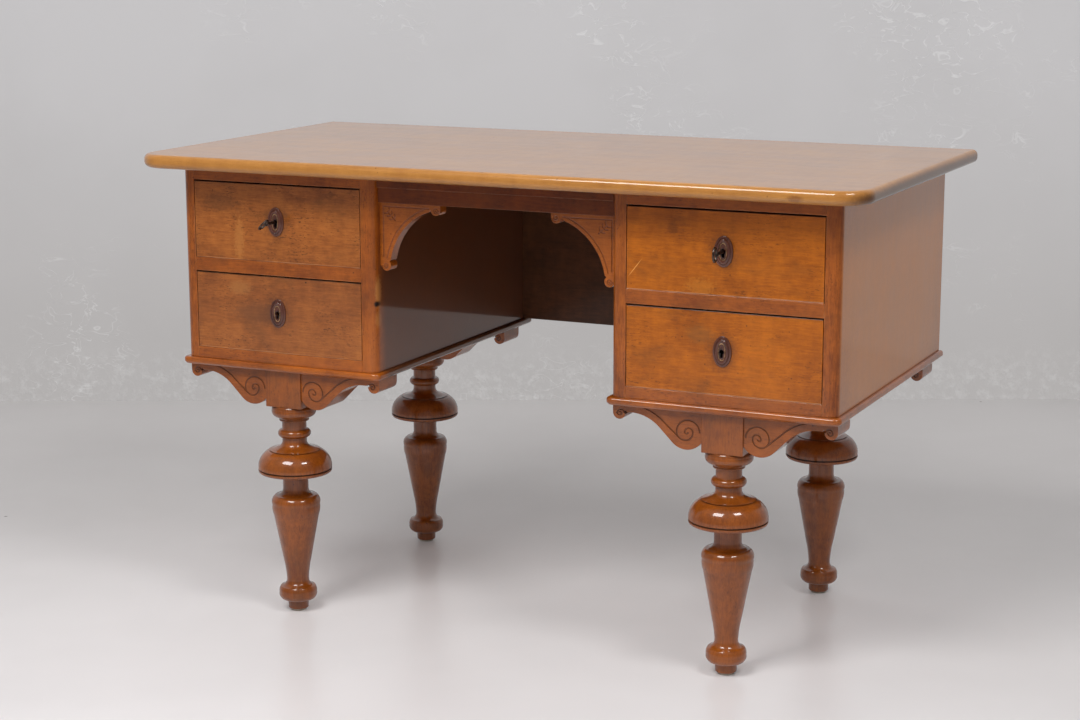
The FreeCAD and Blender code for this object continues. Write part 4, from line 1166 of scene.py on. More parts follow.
@dataclass
class Tabletop(Assembly):
    """The writing top: square at the back, round corners and a soft nose on the other edges."""

    corner_radius: float = 52 * MM
    corner_steps: int = 28
    nose_round: float = 9.2 * MM
    nose_steps: int = 8

    def build(self) -> None:
        """Make the top."""
        low, high = box_of("table_top")
        blank = Blank()
        blank.block(low, high)

        def at_back(vertex: bmesh.types.BMVert) -> bool:
            """Tell a point of the back edge."""
            return abs(vertex.co.y - high.y) < SAME_PLACE

        def is_corner(edge: bmesh.types.BMEdge) -> bool:
            """Tell an upright edge at the front."""
            start, end = edge.verts
            return abs(start.co.z - end.co.z) > MM and not at_back(start)

        def is_nose(edge: bmesh.types.BMEdge) -> bool:
            """Tell a level edge that isn't the back one."""
            start, end = edge.verts
            return abs(start.co.z - end.co.z) < SAME_PLACE and not (at_back(start) and at_back(end))

        blank.bevel(blank.edges_where(is_corner), self.corner_radius, self.corner_steps)
        rim = [edge for edge in blank.sharp_edges() if is_nose(edge)]
        blank.bevel(rim, self.nose_round, self.nose_steps)
        self.deliver("writing_top", blank.to_mesh("writing_top"), self.finishes.top, ["table_top"])


@dataclass
class Carcase(Assembly):
    """Sides, rails, backs and base boards of both pedestals, and the rails over the kneehole."""

    rail_ease: float = 0.5 * MM
    screw_ease: float = 0.15 * MM
    pad_ease: float = 0.4 * MM

    def build(self) -> None:
        """Dress every fixed board of the desk."""
        finishes = self.finishes
        self.ease_node("left_inner_side", finishes.worn_side)
        for node in ("left_outer_side", "right_inner_side", "right_outer_side"):
            self.ease_node(node, finishes.side)
        for side in ("left", "right"):
            for level in ("top", "middle", "bottom"):
                self.ease_node("%s_%s_rail" % (side, level), finishes.rail, ease=self.rail_ease)
            self.ease_node(side + "_base_board", finishes.moulding)
            self.ease_node(side + "_back_panel", finishes.raw[Grain.UPRIGHT])
            self.ease_node(side + "_drawer_runners", finishes.raw[Grain.DEEP])
        for node in ("kneehole_upper_rail", "kneehole_lower_rail"):
            self.ease_node(node, finishes.apron)
        self.ease_node("kneehole_back_panel", finishes.shaded)
        self.ease_node("top_fixing_strips", finishes.raw[Grain.DEEP])
        self.ease_node("drawer_stops", finishes.raw[Grain.ACROSS])
        self.ease_node("top_screws", finishes.iron, ease=self.screw_ease)
        self.ease_node("foot_pads", finishes.felt, ease=self.pad_ease)


@dataclass(frozen=True)
class Turning:
    """Profile of a turned leg from its foot to its block, as shares of its height and its bun's radius."""

    steps_around: int = 96
    steps_along: int = 8
    groove_reach: float = 4 * MM
    groove_depth: float = 2.2 * MM
    stations: tuple[tuple[float, float, float], ...] = (
        (0.0, 0.237, 0), (0.0063, 0.276, 0.15), (0.0415, 0.283, 0), (0.0432, 0.333, 0), (0.0811, 0.515, 0.25),
        (0.1118, 0.470, 0.1), (0.1127, 0.454, 0), (0.1408, 0.302, -0.16), (0.1536, 0.302, 0),
        (0.2418, 0.374, -0.02), (0.4637, 0.615, 0), (0.5164, 0.649, 0.06), (0.5593, 0.579, 0.16),
        (0.5616, 0.556, 0), (0.5974, 0.348, -0.24), (0.6703, 0.345, 0), (0.6725, 0.933, 0),
        (0.688, 0.997, 0.22), (0.6889, 0.955, 0), (0.6948, 0.955, 0), (0.6959, 1.000, 0),
        (0.7802, 0.722, 0.15), (0.7808, 0.66, 0), (0.7838, 0.656, 0), (0.7846, 0.683, 0),
        (0.796, 0.468, -0.04), (0.8265, 0.333, -0.18),
        (0.8432, 0.330, 0), (0.8447, 0.380, 0), (0.8808, 0.380, 0.32), (0.8822, 0.330, 0), (0.9212, 0.330, 0),
        (0.9235, 0.377, 0), (0.9337, 0.397, 0.3), (0.9451, 0.504, -0.16), (0.9474, 0.527, 0),
        (0.9804, 0.597, 0.17), (1.0, 0.559, 0.12),
    )

    def turn(self, low: float, high: float, bun: float) -> Blank:
        """Turn the leg about the upright axis through the origin.

        Args:
            low: Height of the foot.
            high: Height of the block's underside.
            bun: Radius of the widest ring.

        Returns:
            The turned leg, closed at both ends.
        """
        knots = [(Vector((out * bun, 0, low + up * (high - low))), swell) for up, out, swell in self.stations]
        fret = Fret(Vector((0, 0, low)))
        fret.line(knots[0][0])
        for knot, swell in knots[1:]:
            fret.swell(knot, swell, self.steps_along)
        fret.line(Vector((0, 0, high)))
        blank = fret.blank
        blank.spin_solid(Vector((0, 0, 1)), self.steps_around)
        return blank

    def soil(self, mesh: bpy.types.Mesh, high: float) -> None:
        """Write how deep each point lies in a groove, for the darkening there, which is dirt and painted
        shade.

        Args:
            mesh: The turned leg, about the upright axis through the origin.
            high: Height up to which the leg is round.
        """
        rings: dict[int, float] = {}
        for vertex in mesh.vertices:
            ring = round(vertex.co.z / MM)
            rings[ring] = max(rings.get(ring, 0.0), vertex.co.to_2d().length)
        span = round(self.groove_reach / MM)
        layer = mesh.attributes.new("grime_and_shade", "FLOAT", "POINT")
        for index, vertex in enumerate(mesh.vertices):
            if vertex.co.z > high:
                continue
            ring = round(vertex.co.z / MM)
            above, below = (
                max(rings.get(ring + way * step, 0.0) for step in range(1, span + 1)) for way in (1, -1))
            sunk = min(above, below) - vertex.co.to_2d().length
            layer.data[index].value = min(1.0, max(0.0, sunk / self.groove_depth))


@dataclass
class Legs(Assembly):
    """Four turned legs, each with a square block and the tenon that enters the base board."""

    block_size: float = BLOCK_SIZE
    block_height: float = 62.5 * MM
    block_round: float = 1.0 * MM
    block_steps: int = 3
    tenon_radius: float = 15 * MM
    tenon_steps: int = 48
    turning: Turning = Turning()

    def build(self) -> None:
        """Make the four legs."""
        for name in LEG_NAMES:
            self.build_leg(name)

    def build_leg(self, name: str) -> None:
        """Turn one leg.

        Args:
            name: Which leg it is.
        """
        low, high = box_of(name + "_leg")
        board_low, board_high = box_of(name.split("_")[0] + "_base_board")
        block_low = board_low.z - self.block_height
        half = self.block_size / 2
        round_part = self.turning.turn(low.z, block_low, (high.x - low.x) / 2)
        block = Blank()
        block.block(Vector((-half, -half, block_low)), Vector((half, half, board_low.z)))
        block.bevel(block.mesh.edges[:], self.block_round, self.block_steps)
        tenon_length = board_high.z - board_low.z
        bmesh.ops.create_cone(
            block.mesh, cap_ends=True, segments=self.tenon_steps, radius1=self.tenon_radius,
            radius2=self.tenon_radius, depth=tenon_length,
            matrix=Matrix.Translation((0, 0, board_low.z + tenon_length / 2)))
        round_part.add_mesh(block.to_mesh(name + "_block"))
        mesh = round_part.to_mesh(name + "_leg_turned")
        # The grooves darken with dirt and painted shade.
        self.turning.soil(mesh, block_low - MM)
        middle = (low + high) / 2
        mesh.transform(Matrix.Translation((middle.x, middle.y, 0)))
        self.deliver(name + "_leg_turned", mesh, self.finishes.turned, [name + "_leg"])


@dataclass
class LegBrackets(Assembly):
    """Scrolled brackets beside the blocks, carved with a volute and a swept border line."""

    block_size: float = BLOCK_SIZE
    neck: float = 12 * MM
    volute_radius: float = 31 * MM
    volute_offset: float = 26 * MM
    volute_steps: int = 30
    sweep_radius: float = 66 * MM
    sweep_degrees: float = 45.0
    sweep_steps: int = 12
    scroll_radius: float = 10.3 * MM
    scroll_drop: float = 13.6 * MM
    scroll_steps: int = 28
    notch_radius: float = 2.2 * MM
    edge_round: float = 1.4 * MM
    edge_steps: int = 4
    cut_radius: float = 1.4 * MM
    cut_lift: float = 0.25 * MM
    spiral_start: float = 3.2 * MM
    spiral_drop: float = 33.7 * MM
    spiral_radii: tuple[float, ...] = (18.8 * MM, 13.2 * MM, 6.6 * MM, 2.7 * MM)
    curl_start: float = 0.8
    curl_radii: tuple[float, ...] = (5.5 * MM, 3.6 * MM, 1.8 * MM)
    curl_steps: int = 12
    border: float = 12.2 * MM

    def build(self) -> None:
        """Carve one outward bracket and fit it, and its mirror, at every leg."""
        low, high = box_of("left_front_leg_brackets")
        length = (high.x - low.x - self.block_size) / 2
        pattern = self.carved(length, high.z - low.z, high.y - low.y)
        for name in LEG_NAMES:
            low, high = box_of(name + "_leg_brackets")
            pair = Blank()
            pair.add_mesh(pattern)
            pair.move(Matrix.Translation((self.block_size / 2, 0, 0)))
            twin = pair.mirrored()
            pair.add_mesh(twin.to_mesh(name + "_twin"))
            pair.move(Matrix.Translation(((low.x + high.x) / 2, low.y, high.z)))
            mesh = pair.to_mesh(name + "_brackets_carved")
            for material in self.finishes.pair(self.finishes.carved, self.finishes.cuts):
                mesh.materials.append(material)
            self.deliver(mesh.name, mesh, self.finishes.carved, [name + "_leg_brackets"])

    def outline(self, length: float, drop: float) -> Fret:
        """Draw a bracket that reaches to the right from the origin and hangs down.

        Args:
            length: Reach of the bracket.
            drop: How far its lobe hangs down.

        Returns:
            The drawn outline.
        """
        volute = self.volute_radius
        lobe = Vector((self.volute_offset, 0, volute - drop))
        slope = math.sin(math.radians(self.sweep_degrees))
        foot = lobe + Vector((volute * slope, 0, -volute * slope))
        bend_x = foot.x - foot.z - self.neck - self.sweep_radius * (1 - 2 * slope)
        tip = Vector((length - self.scroll_radius, 0, -self.scroll_drop))
        rise = math.degrees(math.asin((self.scroll_drop - self.neck) / self.scroll_radius))
        side = math.degrees(math.acos(self.volute_offset / volute))
        fret = Fret(Vector((0, 0, 0)))
        fret.line(Vector((length, 0, 0)))
        fret.line(Vector((length, 0, tip.z)))
        fret.turn(tip, -180 - rise, self.scroll_steps)
        fret.line(Vector((bend_x, 0, -self.neck)))
        bend = Vector((bend_x, 0, -self.neck - self.sweep_radius))
        fret.turn(bend, self.sweep_degrees, self.sweep_steps)
        fret.line(foot)
        fret.turn(lobe, side + self.sweep_degrees - 180, self.volute_steps)
        return fret

    def carved(self, length: float, drop: float, depth: float) -> bpy.types.Mesh:
        """Saw out and carve one bracket.

        Args:
            length: Reach of the bracket.
            drop: How far its lobe hangs down.
            depth: Its thickness.

        Returns:
            The carved bracket's mesh.
        """
        blank = self.outline(length, drop).raise_slab(depth)

        def on_face(edge: bmesh.types.BMEdge) -> bool:
            """Tell an edge of the front or the back that neither the block nor the board hides."""
            start, end = (vertex.co for vertex in edge.verts)
            level = abs(start.y - end.y) < SAME_PLACE
            return level and max(start.z, end.z) < -SAME_PLACE and max(start.x, end.x) > SAME_PLACE

        blank.bevel(blank.edges_where(on_face), self.edge_round, self.edge_steps)
        tip = Vector((length - self.scroll_radius, -self.cut_lift, -self.scroll_drop))
        spiral_at = Vector((self.spiral_start, -self.cut_lift, -self.spiral_drop))
        curl_at = tip - Vector((self.scroll_radius * self.curl_start, 0, 0))
        lines = (
            half_turns(spiral_at, self.spiral_radii, 1, 1, self.curl_steps),
            self.border_line(drop),
            half_turns(curl_at, self.curl_radii, 1, 1, self.curl_steps),
        )
        cutters = [round_bar("cut", line, self.cut_radius) for line in lines]
        notch_at = tip + Vector((-self.scroll_radius, 0, self.scroll_drop - self.neck))
        notch = [notch_at + Vector((0, share * depth, 0)) for share in (-0.5, 1.5)]
        cutters.append(round_bar("notch", notch, self.notch_radius))
        finishes = self.finishes.pair(self.finishes.carved, self.finishes.cuts)
        return carve(blank.to_mesh("bracket_pattern"), cutters, finishes)

    def border_line(self, drop: float) -> list[Vector]:
        """Follow the line that leaves the volute and runs inside the swept underside to the moulding.

        Args:
            drop: How far the lobe hangs down.

        Returns:
            Points along the line.
        """
        volute = self.volute_radius
        first, second, *_ = self.spiral_radii
        slope = math.sin(math.radians(self.sweep_degrees))
        foot = Vector((self.volute_offset + volute * slope, 0, volute - drop - volute * slope))
        bend_x = foot.x - foot.z - self.neck - self.sweep_radius * (1 - 2 * slope)
        centre = Vector((bend_x, 0, -self.neck - self.sweep_radius))
        join_x = self.spiral_start + 2 * first - second * (1 - slope)
        points = [Vector((join_x, 0, -self.spiral_drop - second * slope))]
        for step in range(self.sweep_steps - 1):
            angle = math.radians(90 + self.sweep_degrees * (1 - step / self.sweep_steps))
            way = Vector((math.cos(angle), 0, math.sin(angle)))
            points.append(centre + way * (self.sweep_radius + self.border))
        return [point + Vector((0, -self.cut_lift, 0)) for point in points]


@dataclass
class Spandrels(Assembly):
    """Fretted corner brackets of the kneehole, with a carved border, a sprig and small scrolls."""

    scroll: float = 8.5 * MM
    # Points near the scrolls, in scroll radii: across, and down from the rail or up from the tip.
    upper_neck: tuple[float, float] = (2.10, 1.02)
    arch_top: tuple[float, float] = (2.36, 1.36)
    arch_foot: tuple[float, float] = (2.18, 2.05)
    lower_neck: tuple[float, float] = (1.84, 1.84)
    lower_nape: tuple[float, float] = (2.12, 1.50)
    lower_middle: float = 1.25
    border_ends: tuple[float, float] = (2.3, 2.7)
    upper_turn: float = -160.0
    lower_turn: float = -150.0
    scroll_steps: int = 20
    arch_share: float = 0.14
    arch_steps: int = 28
    border: float = 6.5 * MM
    arch_border: float = 6.5 * MM
    border_share: float = 0.96
    border_steps: int = 24
    edge_round: float = 1.8 * MM
    edge_steps: int = 4
    cut_radius: float = 1.35 * MM
    cut_lift: float = 0.25 * MM
    eye_radii: tuple[float, ...] = (4.6 * MM, 3.1 * MM, 1.7 * MM)
    eye_start: float = 1.4
    eye_steps: int = 10
    sprig_at: float = 21 * MM
    sprig_reach: float = 13 * MM
    stem_degrees: float = 135
    leaf_spread: float = 52
    leaf_places: tuple[float, ...] = (-0.45, 0.1, 0.6)
    leaf_reach: float = 0.62
    leaf_bow: float = 0.22
    stroke_shares: tuple[float, ...] = (0.08, 0.35, 0.65, 0.95)

    def build(self) -> None:
        """Carve both spandrels."""
        low, high = box_of("right_spandrel")
        pattern = self.carved(high.x - low.x, high.z - low.z, high.y - low.y)
        for side in ("left", "right"):
            low, high = box_of(side + "_spandrel")
            blank = Blank()
            blank.add_mesh(pattern)
            if side == "right":
                blank = blank.mirrored()
            corner = low.x if side == "left" else high.x
            blank.move(Matrix.Translation((corner, low.y, high.z)))
            mesh = blank.to_mesh(side + "_spandrel_carved")
            for material in self.finishes.pair(self.finishes.fretted, self.finishes.fretted_cuts):
                mesh.materials.append(material)
            self.deliver(mesh.name, mesh, self.finishes.fretted, [side + "_spandrel"])

    def carved(self, width: float, height: float, depth: float) -> bpy.types.Mesh:
        """Saw out and carve the left spandrel, with its corner at the origin.

        Args:
            width: Reach along the rail.
            height: Reach down the side.
            depth: Its thickness.

        Returns:
            The carved spandrel's mesh.
        """
        scroll = self.scroll

        def by_rail(shares: tuple[float, float]) -> Vector:
            """Place a point by the scroll at the rail's end."""
            return Vector((width - shares[0] * scroll, 0, -shares[1] * scroll))

        def by_side(shares: tuple[float, float]) -> Vector:
            """Place a point by the scroll at the side's end."""
            return Vector((shares[0] * scroll, 0, -(height - shares[1] * scroll)))

        arch_start = by_rail(self.arch_top)
        arch_end = by_side(self.arch_foot)
        fret = Fret(Vector((0, 0, 0)))
        fret.line(by_rail((0, 0)))
        fret.line(by_rail((0, 1)))
        fret.turn(by_rail((1, 1)), self.upper_turn, self.scroll_steps)
        fret.line(by_rail(self.upper_neck))
        fret.line(arch_start)
        fret.swell(arch_end, self.arch_share, self.arch_steps)
        fret.line(by_side(self.lower_neck))
        fret.line(by_side(self.lower_nape))
        fret.turn(by_side((self.lower_middle, 1)), self.lower_turn, self.scroll_steps)
        fret.line(by_side((0, 1)))
        blank = fret.raise_slab(depth)

        def on_front(edge: bmesh.types.BMEdge) -> bool:
            """Tell a front edge that lies against neither the rail nor the side."""
            start, end = (vertex.co for vertex in edge.verts)
            inner = max(start.z, end.z) < -SAME_PLACE and max(start.x, end.x) > SAME_PLACE
            return inner and abs(start.y) < SAME_PLACE and abs(end.y) < SAME_PLACE

        blank.bevel(blank.edges_where(on_front), self.edge_round, self.edge_steps)
        lines = self.lines(width, height, arch_start, arch_end)
        cutters = [round_bar("cut", line, self.cut_radius) for line in lines]
        finishes = self.finishes.pair(self.finishes.fretted, self.finishes.fretted_cuts)
        return carve(blank.to_mesh("spandrel_pattern"), cutters, finishes)

    def lines(
        self, width: float, height: float, arch_start: Vector, arch_end: Vector
    ) -> list[list[Vector]]:
        """Draw the carved lines: a straight border, one line along the arch, the scrolls' eyes and a sprig.

        Args:
            width: Reach along the rail.
            height: Reach down the side.
            arch_start: Upper end of the arch.
            arch_end: Lower end of the arch.

        Returns:
            The points of each line.
        """
        border = self.border
        scroll = self.scroll
        straight = [
            Vector((width - self.border_ends[0] * scroll, 0, -border)),
            Vector((border, 0, -border)),
            Vector((border, 0, self.border_ends[1] * scroll - height)),
        ]
        drawn = [straight, self.beside_arch(arch_start, arch_end)]
        eyes = (((width - scroll, -scroll), -1), ((self.lower_middle * scroll, scroll - height), 1))
        for middle, reach in eyes:
            start = Vector((middle[0] - reach * self.eye_radii[0] * self.eye_start, 0, middle[1]))
            drawn.append(half_turns(start, self.eye_radii, reach, -1, self.eye_steps))
        drawn += self.sprig()
        front = Vector((0, -self.cut_lift, 0))
        return [[point + front for point in line] for line in drawn]

    def beside_arch(self, start: Vector, end: Vector) -> list[Vector]:
        """Follow the arch at a fixed distance inside the wood.

        Args:
            start: Upper end of the arch.
            end: Lower end of the arch.

        Returns:
            Points along the line.
        """
        chord = end - start
        half = chord.length / 2
        rise = 2 * half * self.arch_share
        radius = (half * half + rise * rise) / (2 * rise)
        inward = Vector((chord.z, 0, -chord.x)).normalized()
        centre = start + chord / 2 - inward * (radius - rise)
        opening = math.asin(half / radius) * self.border_share
        along = chord.normalized()
        points = []
        for step in range(self.border_steps + 1):
            angle = opening * (step / (self.border_steps / 2) - 1)
            way = along * math.sin(angle) + inward * math.cos(angle)
            points.append(centre + way * (radius + self.arch_border))
        return points

    def sprig(self) -> list[list[Vector]]:
        """Draw a stem with leaves across the corner, in short bowed strokes.

        Returns:
            The points of each stroke.
        """
        def towards(degrees: float) -> Vector:
            """Give the way at an angle in the face of the spandrel."""
            return Vector((math.cos(math.radians(degrees)), 0, math.sin(math.radians(degrees))))

        heart = Vector((self.sprig_at, 0, -self.sprig_at))
        stem = self.stem_degrees
        strokes = [(stem, 0.0, 0.8, 0.0), (stem - 180, 0.0, 0.9, 0.0)]
        for place in self.leaf_places:
            for side in (-1, 1):
                strokes.append((stem + side * self.leaf_spread, place, self.leaf_reach, side * self.leaf_bow))
        drawn = []
        for degrees, place, reach, bow in strokes:
            way = towards(degrees)
            side = Vector((-way.z, 0, way.x))
            foot = heart + towards(stem) * self.sprig_reach * place
            line = []
            for share in self.stroke_shares:
                lift = bow * 4 * share * (1 - share)
                line.append(foot + (way * share + side * lift) * self.sprig_reach * reach)
            drawn.append(line)
        return drawn


@dataclass(frozen=True)
class PlateSizes:
    """Steps of the oval plate's moulding, from its rim inwards: width of each step and its rise."""

    segments: int = 64
    steps: tuple[tuple[float, float], ...] = (
        (0.35 * MM, 1.7 * MM), (0.5 * MM, 0.35 * MM), (2.4 * MM, 0.25 * MM), (0.35 * MM, -0.55 * MM),
        (0.5 * MM, 0.75 * MM), (0.7 * MM, 0.9 * MM), (0.8 * MM, 0.5 * MM), (1.3 * MM, 0.15 * MM),
        (0.9 * MM, -0.35 * MM), (0.6 * MM, -0.6 * MM),
    )
    bed: tuple[float, float] = (12 * MM, 27 * MM)


@dataclass(frozen=True)
class LipSizes:
    """Sizes of the worn rim round the lining of a keyhole."""

    bar: float = 0.75 * MM
    half_width: float = 5.3 * MM
    half_height: float = 12.6 * MM
    power: float = 0.8
    steps: int = 48
    lining: float = 3.0 * MM


@dataclass(frozen=True)
class KeySizes:
    """Sizes of a key, with its axis along Y and the drawer's face at Y = 0."""

    stem_radius: float = 2.7 * MM
    stem_steps: int = 32
    collar_radius: float = 3.6 * MM
    collar_stations: tuple[float, ...] = (2.2 * MM, 2.8 * MM, 4.2 * MM, 4.8 * MM)
    end_length: float = 0.6 * MM
    end_shares: tuple[float, float] = (0.92, 0.75)
    stand_off: float = 30.8 * MM
    bow_length: float = 17 * MM
    bow_height: float = 24 * MM
    bow_bar: float = 1.8 * MM
    bow_steps: int = 48
    reach_in: float = 18.9 * MM
    bit_length: float = 5 * MM
    bit_reach: float = 8 * MM
    bit_thickness: float = 2.6 * MM
    bit_round: float = 0.25 * MM
    turned: float = 45.0

    def profile(self) -> list[tuple[float, float]]:
        """Give the turned stem with its collar.

        Returns:
            Radius and place along the axis of each point, from the bow to the bit.
        """
        bow = -self.stand_off
        first, second, third, fourth = (bow + station for station in self.collar_stations)
        return [
            (0.0, bow - self.end_length), (self.stem_radius, bow), (self.stem_radius, first),
            (self.collar_radius, second), (self.collar_radius, third), (self.stem_radius, fourth),
            (self.stem_radius * self.end_shares[0], self.reach_in - self.end_length),
            (self.stem_radius * self.end_shares[1], self.reach_in), (0.0, self.reach_in),
        ]


@dataclass
class Drawers(Assembly):
    """Four drawers with their boxes, locks, keyhole plates and, in the upper two, keys."""

    plate: PlateSizes = PlateSizes()
    lip: LipSizes = LipSizes()
    key: KeySizes = KeySizes()
    front_ease: float = 0.4 * MM
    inner_ease: float = 0.3 * MM

    def build(self) -> None:
        """Dress the four drawers."""
        for drawer in ("left_upper", "left_lower", "right_upper", "right_lower"):
            self.build_box(drawer)
            self.build_plate(drawer)
            if drawer.endswith("upper"):
                self.build_key(drawer)

    def build_box(self, drawer: str) -> None:
        """Dress a drawer's front, box, bottom, lock and bolt.

        Args:
            drawer: Which drawer it is.
        """
        finishes = self.finishes
        body = drawer + "_drawer"
        front = finishes.fronts[drawer.split("_")[0]]
        self.ease_node(drawer + "_drawer_front", front, body, self.front_ease)
        # The back's corners lie on the sides' rear edges, where a bevel can't run, so these stay sharp.
        self.ease_node(drawer + "_drawer_sides", finishes.raw[Grain.DEEP], body, 0.0)
        self.ease_node(drawer + "_drawer_bottom", finishes.raw[Grain.ACROSS], body, self.inner_ease)
        self.build_lock(drawer)
        self.ease_node(drawer + "_lock_bolt", finishes.iron, drawer + "_bolt", self.inner_ease)

    def build_lock(self, drawer: str) -> None:
        """Dress a lock, give its lining the keyhole plate's finish with its painted keyhole shade, and add
        the worn lip of the keyhole.

        Args:
            drawer: Which drawer it is in.
        """
        finishes = self.finishes
        sizes = self.lip
        body = drawer + "_drawer"
        face_at = box_of(drawer + "_drawer_front")[0].y
        lock = self.ease_node(drawer + "_lock", finishes.brass, body, self.inner_ease)
        lock.data.materials.append(finishes.of(finishes.plate))
        for face in lock.data.polygons:
            face.material_index = int(face.center.y < face_at - SAME_PLACE)
        low, high = box_of(drawer + "_escutcheon")
        middle = (low + high) / 2
        middle.y = face_at - sizes.lining
        across = Vector((sizes.half_width, 0, 0))
        upward = Vector((0, 0, sizes.half_height))
        points = ring_of(sizes.steps, middle, across, upward, sizes.power)
        name = drawer + "_keyhole_lip"
        lip = round_bar(name, points, sizes.bar, closed=True)
        self.deliver(name, lip, finishes.brass, [], body)

    def build_plate(self, drawer: str) -> None:
        """Mould the oval plate round a keyhole.

        Args:
            drawer: Which drawer it is on.
        """
        sizes = self.plate
        low, high = box_of(drawer + "_escutcheon")
        middle = (low + high) / 2
        half_width = (high.x - low.x) / 2
        half_height = (high.z - low.z) / 2
        plate = Blank()
        facing = Matrix.Rotation(math.pi / 2, 4, "X")
        bmesh.ops.create_circle(
            plate.mesh, cap_ends=True, segments=sizes.segments, radius=1.0, matrix=facing)
        plate.move(Matrix.Diagonal((half_width, 1.0, half_height, 1.0)))
        face = next(iter(plate.mesh.faces))
        for width, rise in sizes.steps:
            bmesh.ops.inset_region(
                plate.mesh, faces=[face], thickness=width, depth=0.0, use_even_offset=True,
                use_boundary=True)
            bmesh.ops.translate(plate.mesh, verts=face.verts, vec=Vector((0, -rise, 0)))
        bed_width, bed_height = sizes.bed
        reach_x = max(vertex.co.x for vertex in face.verts)
        reach_z = max(vertex.co.z for vertex in face.verts)
        bmesh.ops.scale(
            plate.mesh, verts=face.verts, vec=(bed_width / 2 / reach_x, 1.0, bed_height / 2 / reach_z))
        walls = bmesh.ops.extrude_edge_only(plate.mesh, edges=face.edges)
        deep = [item for item in walls["geom"] if isinstance(item, bmesh.types.BMVert)]
        for vertex in deep:
            vertex.co.y = 0.0
        bmesh.ops.delete(plate.mesh, geom=[face], context="FACES_ONLY")
        backs = plate.edges_where(lambda edge: edge.is_boundary)
        bmesh.ops.bridge_loops(plate.mesh, edges=backs)
        plate.weld()
        plate.move(Matrix.Translation((middle.x, high.y, middle.z)))
        name = drawer + "_keyhole_plate"
        self.deliver(
            name, plate.to_mesh(name), self.finishes.plate, [drawer + "_escutcheon"], drawer + "_drawer")

    def build_key(self, drawer: str) -> None:
        """Forge a key and put it into its lock.

        Args:
            drawer: Which drawer it belongs to.
        """
        sizes = self.key
        key = Blank()
        points = [key.mesh.verts.new((radius, along, 0)) for radius, along in sizes.profile()]
        for start, end in zip(points, points[1:]):
            key.mesh.edges.new((start, end))
        key.spin_solid(Vector((0, 1, 0)), sizes.stem_steps, SAME_PLACE / 2)
        across = sizes.bow_length / 2 - sizes.bow_bar
        upward = sizes.bow_height / 2 - sizes.bow_bar
        centre = Vector((0, -sizes.stand_off - across, 0))
        ring = ring_of(sizes.bow_steps, centre, Vector((0, across, 0)), Vector((0, 0, upward)))
        key.add_mesh(round_bar(drawer + "_bow", ring, sizes.bow_bar, closed=True))
        bit = Blank()
        half = sizes.bit_thickness / 2
        corner = Vector((-half, sizes.reach_in - sizes.bit_length, -sizes.bit_reach))
        bit.block(corner, Vector((half, sizes.reach_in, 0)))
        bit.bevel(bit.mesh.edges[:], sizes.bit_round, 2)
        key.add_mesh(bit.to_mesh(drawer + "_bit"))
        hinge = next(joint for joint in frame["joints"] if joint["name"] == drawer + "_key_turn")
        if drawer == "left_upper":
            key.move(Matrix.Rotation(math.radians(sizes.turned), 4, "Y"))
        key.move(Matrix.Translation(hinge["pos_m"]))
        name = drawer + "_key_forged"
        self.deliver(
            name, key.to_mesh(name), self.finishes.iron, [drawer + "_key"], drawer + "_key_body")


@dataclass(frozen=True)
class Lamp:
    """A studio lamp that shines at the desk, with or without its own glint in polished wood."""

    name: str
    place: tuple[float, float, float]
    width: float
    height: float
    power: float
    mirrored: bool = True

    def light(self, target: Vector) -> None:
        """Hang the lamp.

        Args:
            target: Point that it faces.
        """
        data = bpy.data.lights.new(self.name, "AREA")
        data.shape = "RECTANGLE"
        data.size = self.width
        data.size_y = self.height
        data.energy = self.power
        lamp = new_object(self.name, data)
        lamp.visible_glossy = self.mirrored
        lamp.location = self.place
        lamp.rotation_euler = (target - Vector(self.place)).to_track_quat("-Z", "Y").to_euler()


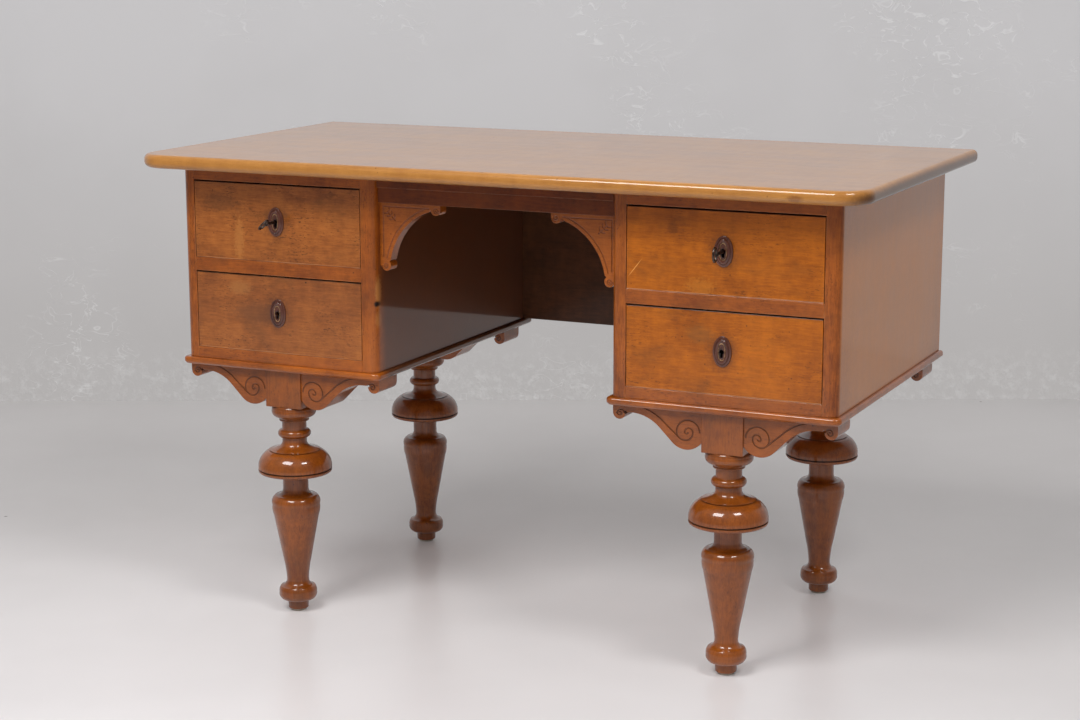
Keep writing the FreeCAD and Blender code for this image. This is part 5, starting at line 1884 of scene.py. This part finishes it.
@dataclass(frozen=True)
class Studio:
    """Floor, wall, lamps and camera."""

    camera_place: tuple[float, float, float] = (1.50035, -3.27733, 1.15263)
    camera_yaw: float = 25.04
    camera_pitch: float = -11.454
    camera_roll: float = 0.093
    focal_length: float = 73.49
    sensor_width: float = 36.0
    wall_distance: float = 5.203
    room_reach: float = 9.0
    floor_light_pool: tuple[float, float] = (-0.5, 2.3)
    air_strength: float = 0.28
    lamps: tuple[Lamp, ...] = (
        Lamp("left_lamp", (-0.45, -2.4, 3.1), 1.6, 1.1, 83.0),
        Lamp("right_lamp", (2.0, -1.1, 3.1), 1.0, 0.6, 38.0),
        Lamp("front_lamp", (1.9, -3.3, 2.8), 3.2, 1.2, 21.0, False),
        Lamp("back_lamp", (-0.4, 1.3, 3.0), 2.4, 0.8, 5.0),
    )

    def build(self) -> None:
        """Set up the whole studio."""
        self.build_room()
        self.build_light()
        self.build_camera()

    def build_room(self) -> None:
        """Lay the floor and stand the wall behind the desk, square to the camera."""
        yaw = math.radians(self.camera_yaw)
        away = Vector((-math.sin(yaw), math.cos(yaw), 0))
        foot = Vector((self.camera_place[0], self.camera_place[1], 0)) + away * self.wall_distance
        floor = Blank()
        bmesh.ops.create_grid(floor.mesh, x_segments=1, y_segments=1, size=self.room_reach)
        # Centre of the painted pool of light on the floor.
        across, ahead = self.floor_light_pool
        near = tuple(Vector((self.camera_place[0] + across, self.camera_place[1], 0)) + away * ahead)
        finish = FloorPaint("floor_paint", (213, 210, 209), (238, 234, 234), 0.26, 0.1, near)
        self.stage_piece("studio_floor", floor, finish)
        wall = Blank()
        turn = Matrix.Rotation(yaw, 4, "Z") @ Matrix.Rotation(math.pi / 2, 4, "X")
        bmesh.ops.create_grid(wall.mesh, x_segments=1, y_segments=1, size=self.room_reach)
        wall.move(Matrix.Translation(foot + Vector((0, 0, self.room_reach))) @ turn)
        self.stage_piece("studio_wall", wall, Plaster("wall_paint", (201, 199, 200), (186, 183, 182), 0.75))

    def stage_piece(self, name: str, blank: Blank, finish: FloorPaint | Plaster) -> None:
        """Put a piece of the studio in place.

        Args:
            name: Name of the piece.
            blank: Its shape.
            finish: Its finish.
        """
        piece = new_object(name, blank.to_mesh(name))
        piece.data.materials.append(finish.material())

    def build_light(self) -> None:
        """Fill the room with even light and add the lamps."""
        world = bpy.data.worlds.new("studio_air")
        world.use_nodes = True
        air = world.node_tree.nodes["Background"]
        air.inputs["Color"].default_value = paint((242, 242, 245))
        air.inputs["Strength"].default_value = self.air_strength
        bpy.context.scene.world = world
        low, high = CAD_BOX
        target = (Vector(low) + Vector(high)) / 2
        for lamp in self.lamps:
            lamp.light(target)

    def build_camera(self) -> None:
        """Stand the camera where the photograph was taken."""
        data = bpy.data.cameras.new("portrait")
        data.sensor_width = self.sensor_width
        data.lens = self.focal_length
        camera = new_object("portrait", data)
        camera.location = self.camera_place
        pitch = math.radians(90 + self.camera_pitch)
        camera.rotation_euler = (pitch, math.radians(self.camera_roll), math.radians(self.camera_yaw))
        bpy.context.scene.camera = camera
        bpy.context.scene.view_settings.view_transform = "Standard"


def main() -> None:
    """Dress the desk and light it."""
    logging.basicConfig(level=logging.INFO, format="%(message)s")
    finishes = Finishes()
    for assembly in (Tabletop, Carcase, Legs, LegBrackets, Spandrels, Drawers):
        assembly(finishes).build()
    Studio().build()


if __name__ == "__main__":
    main()
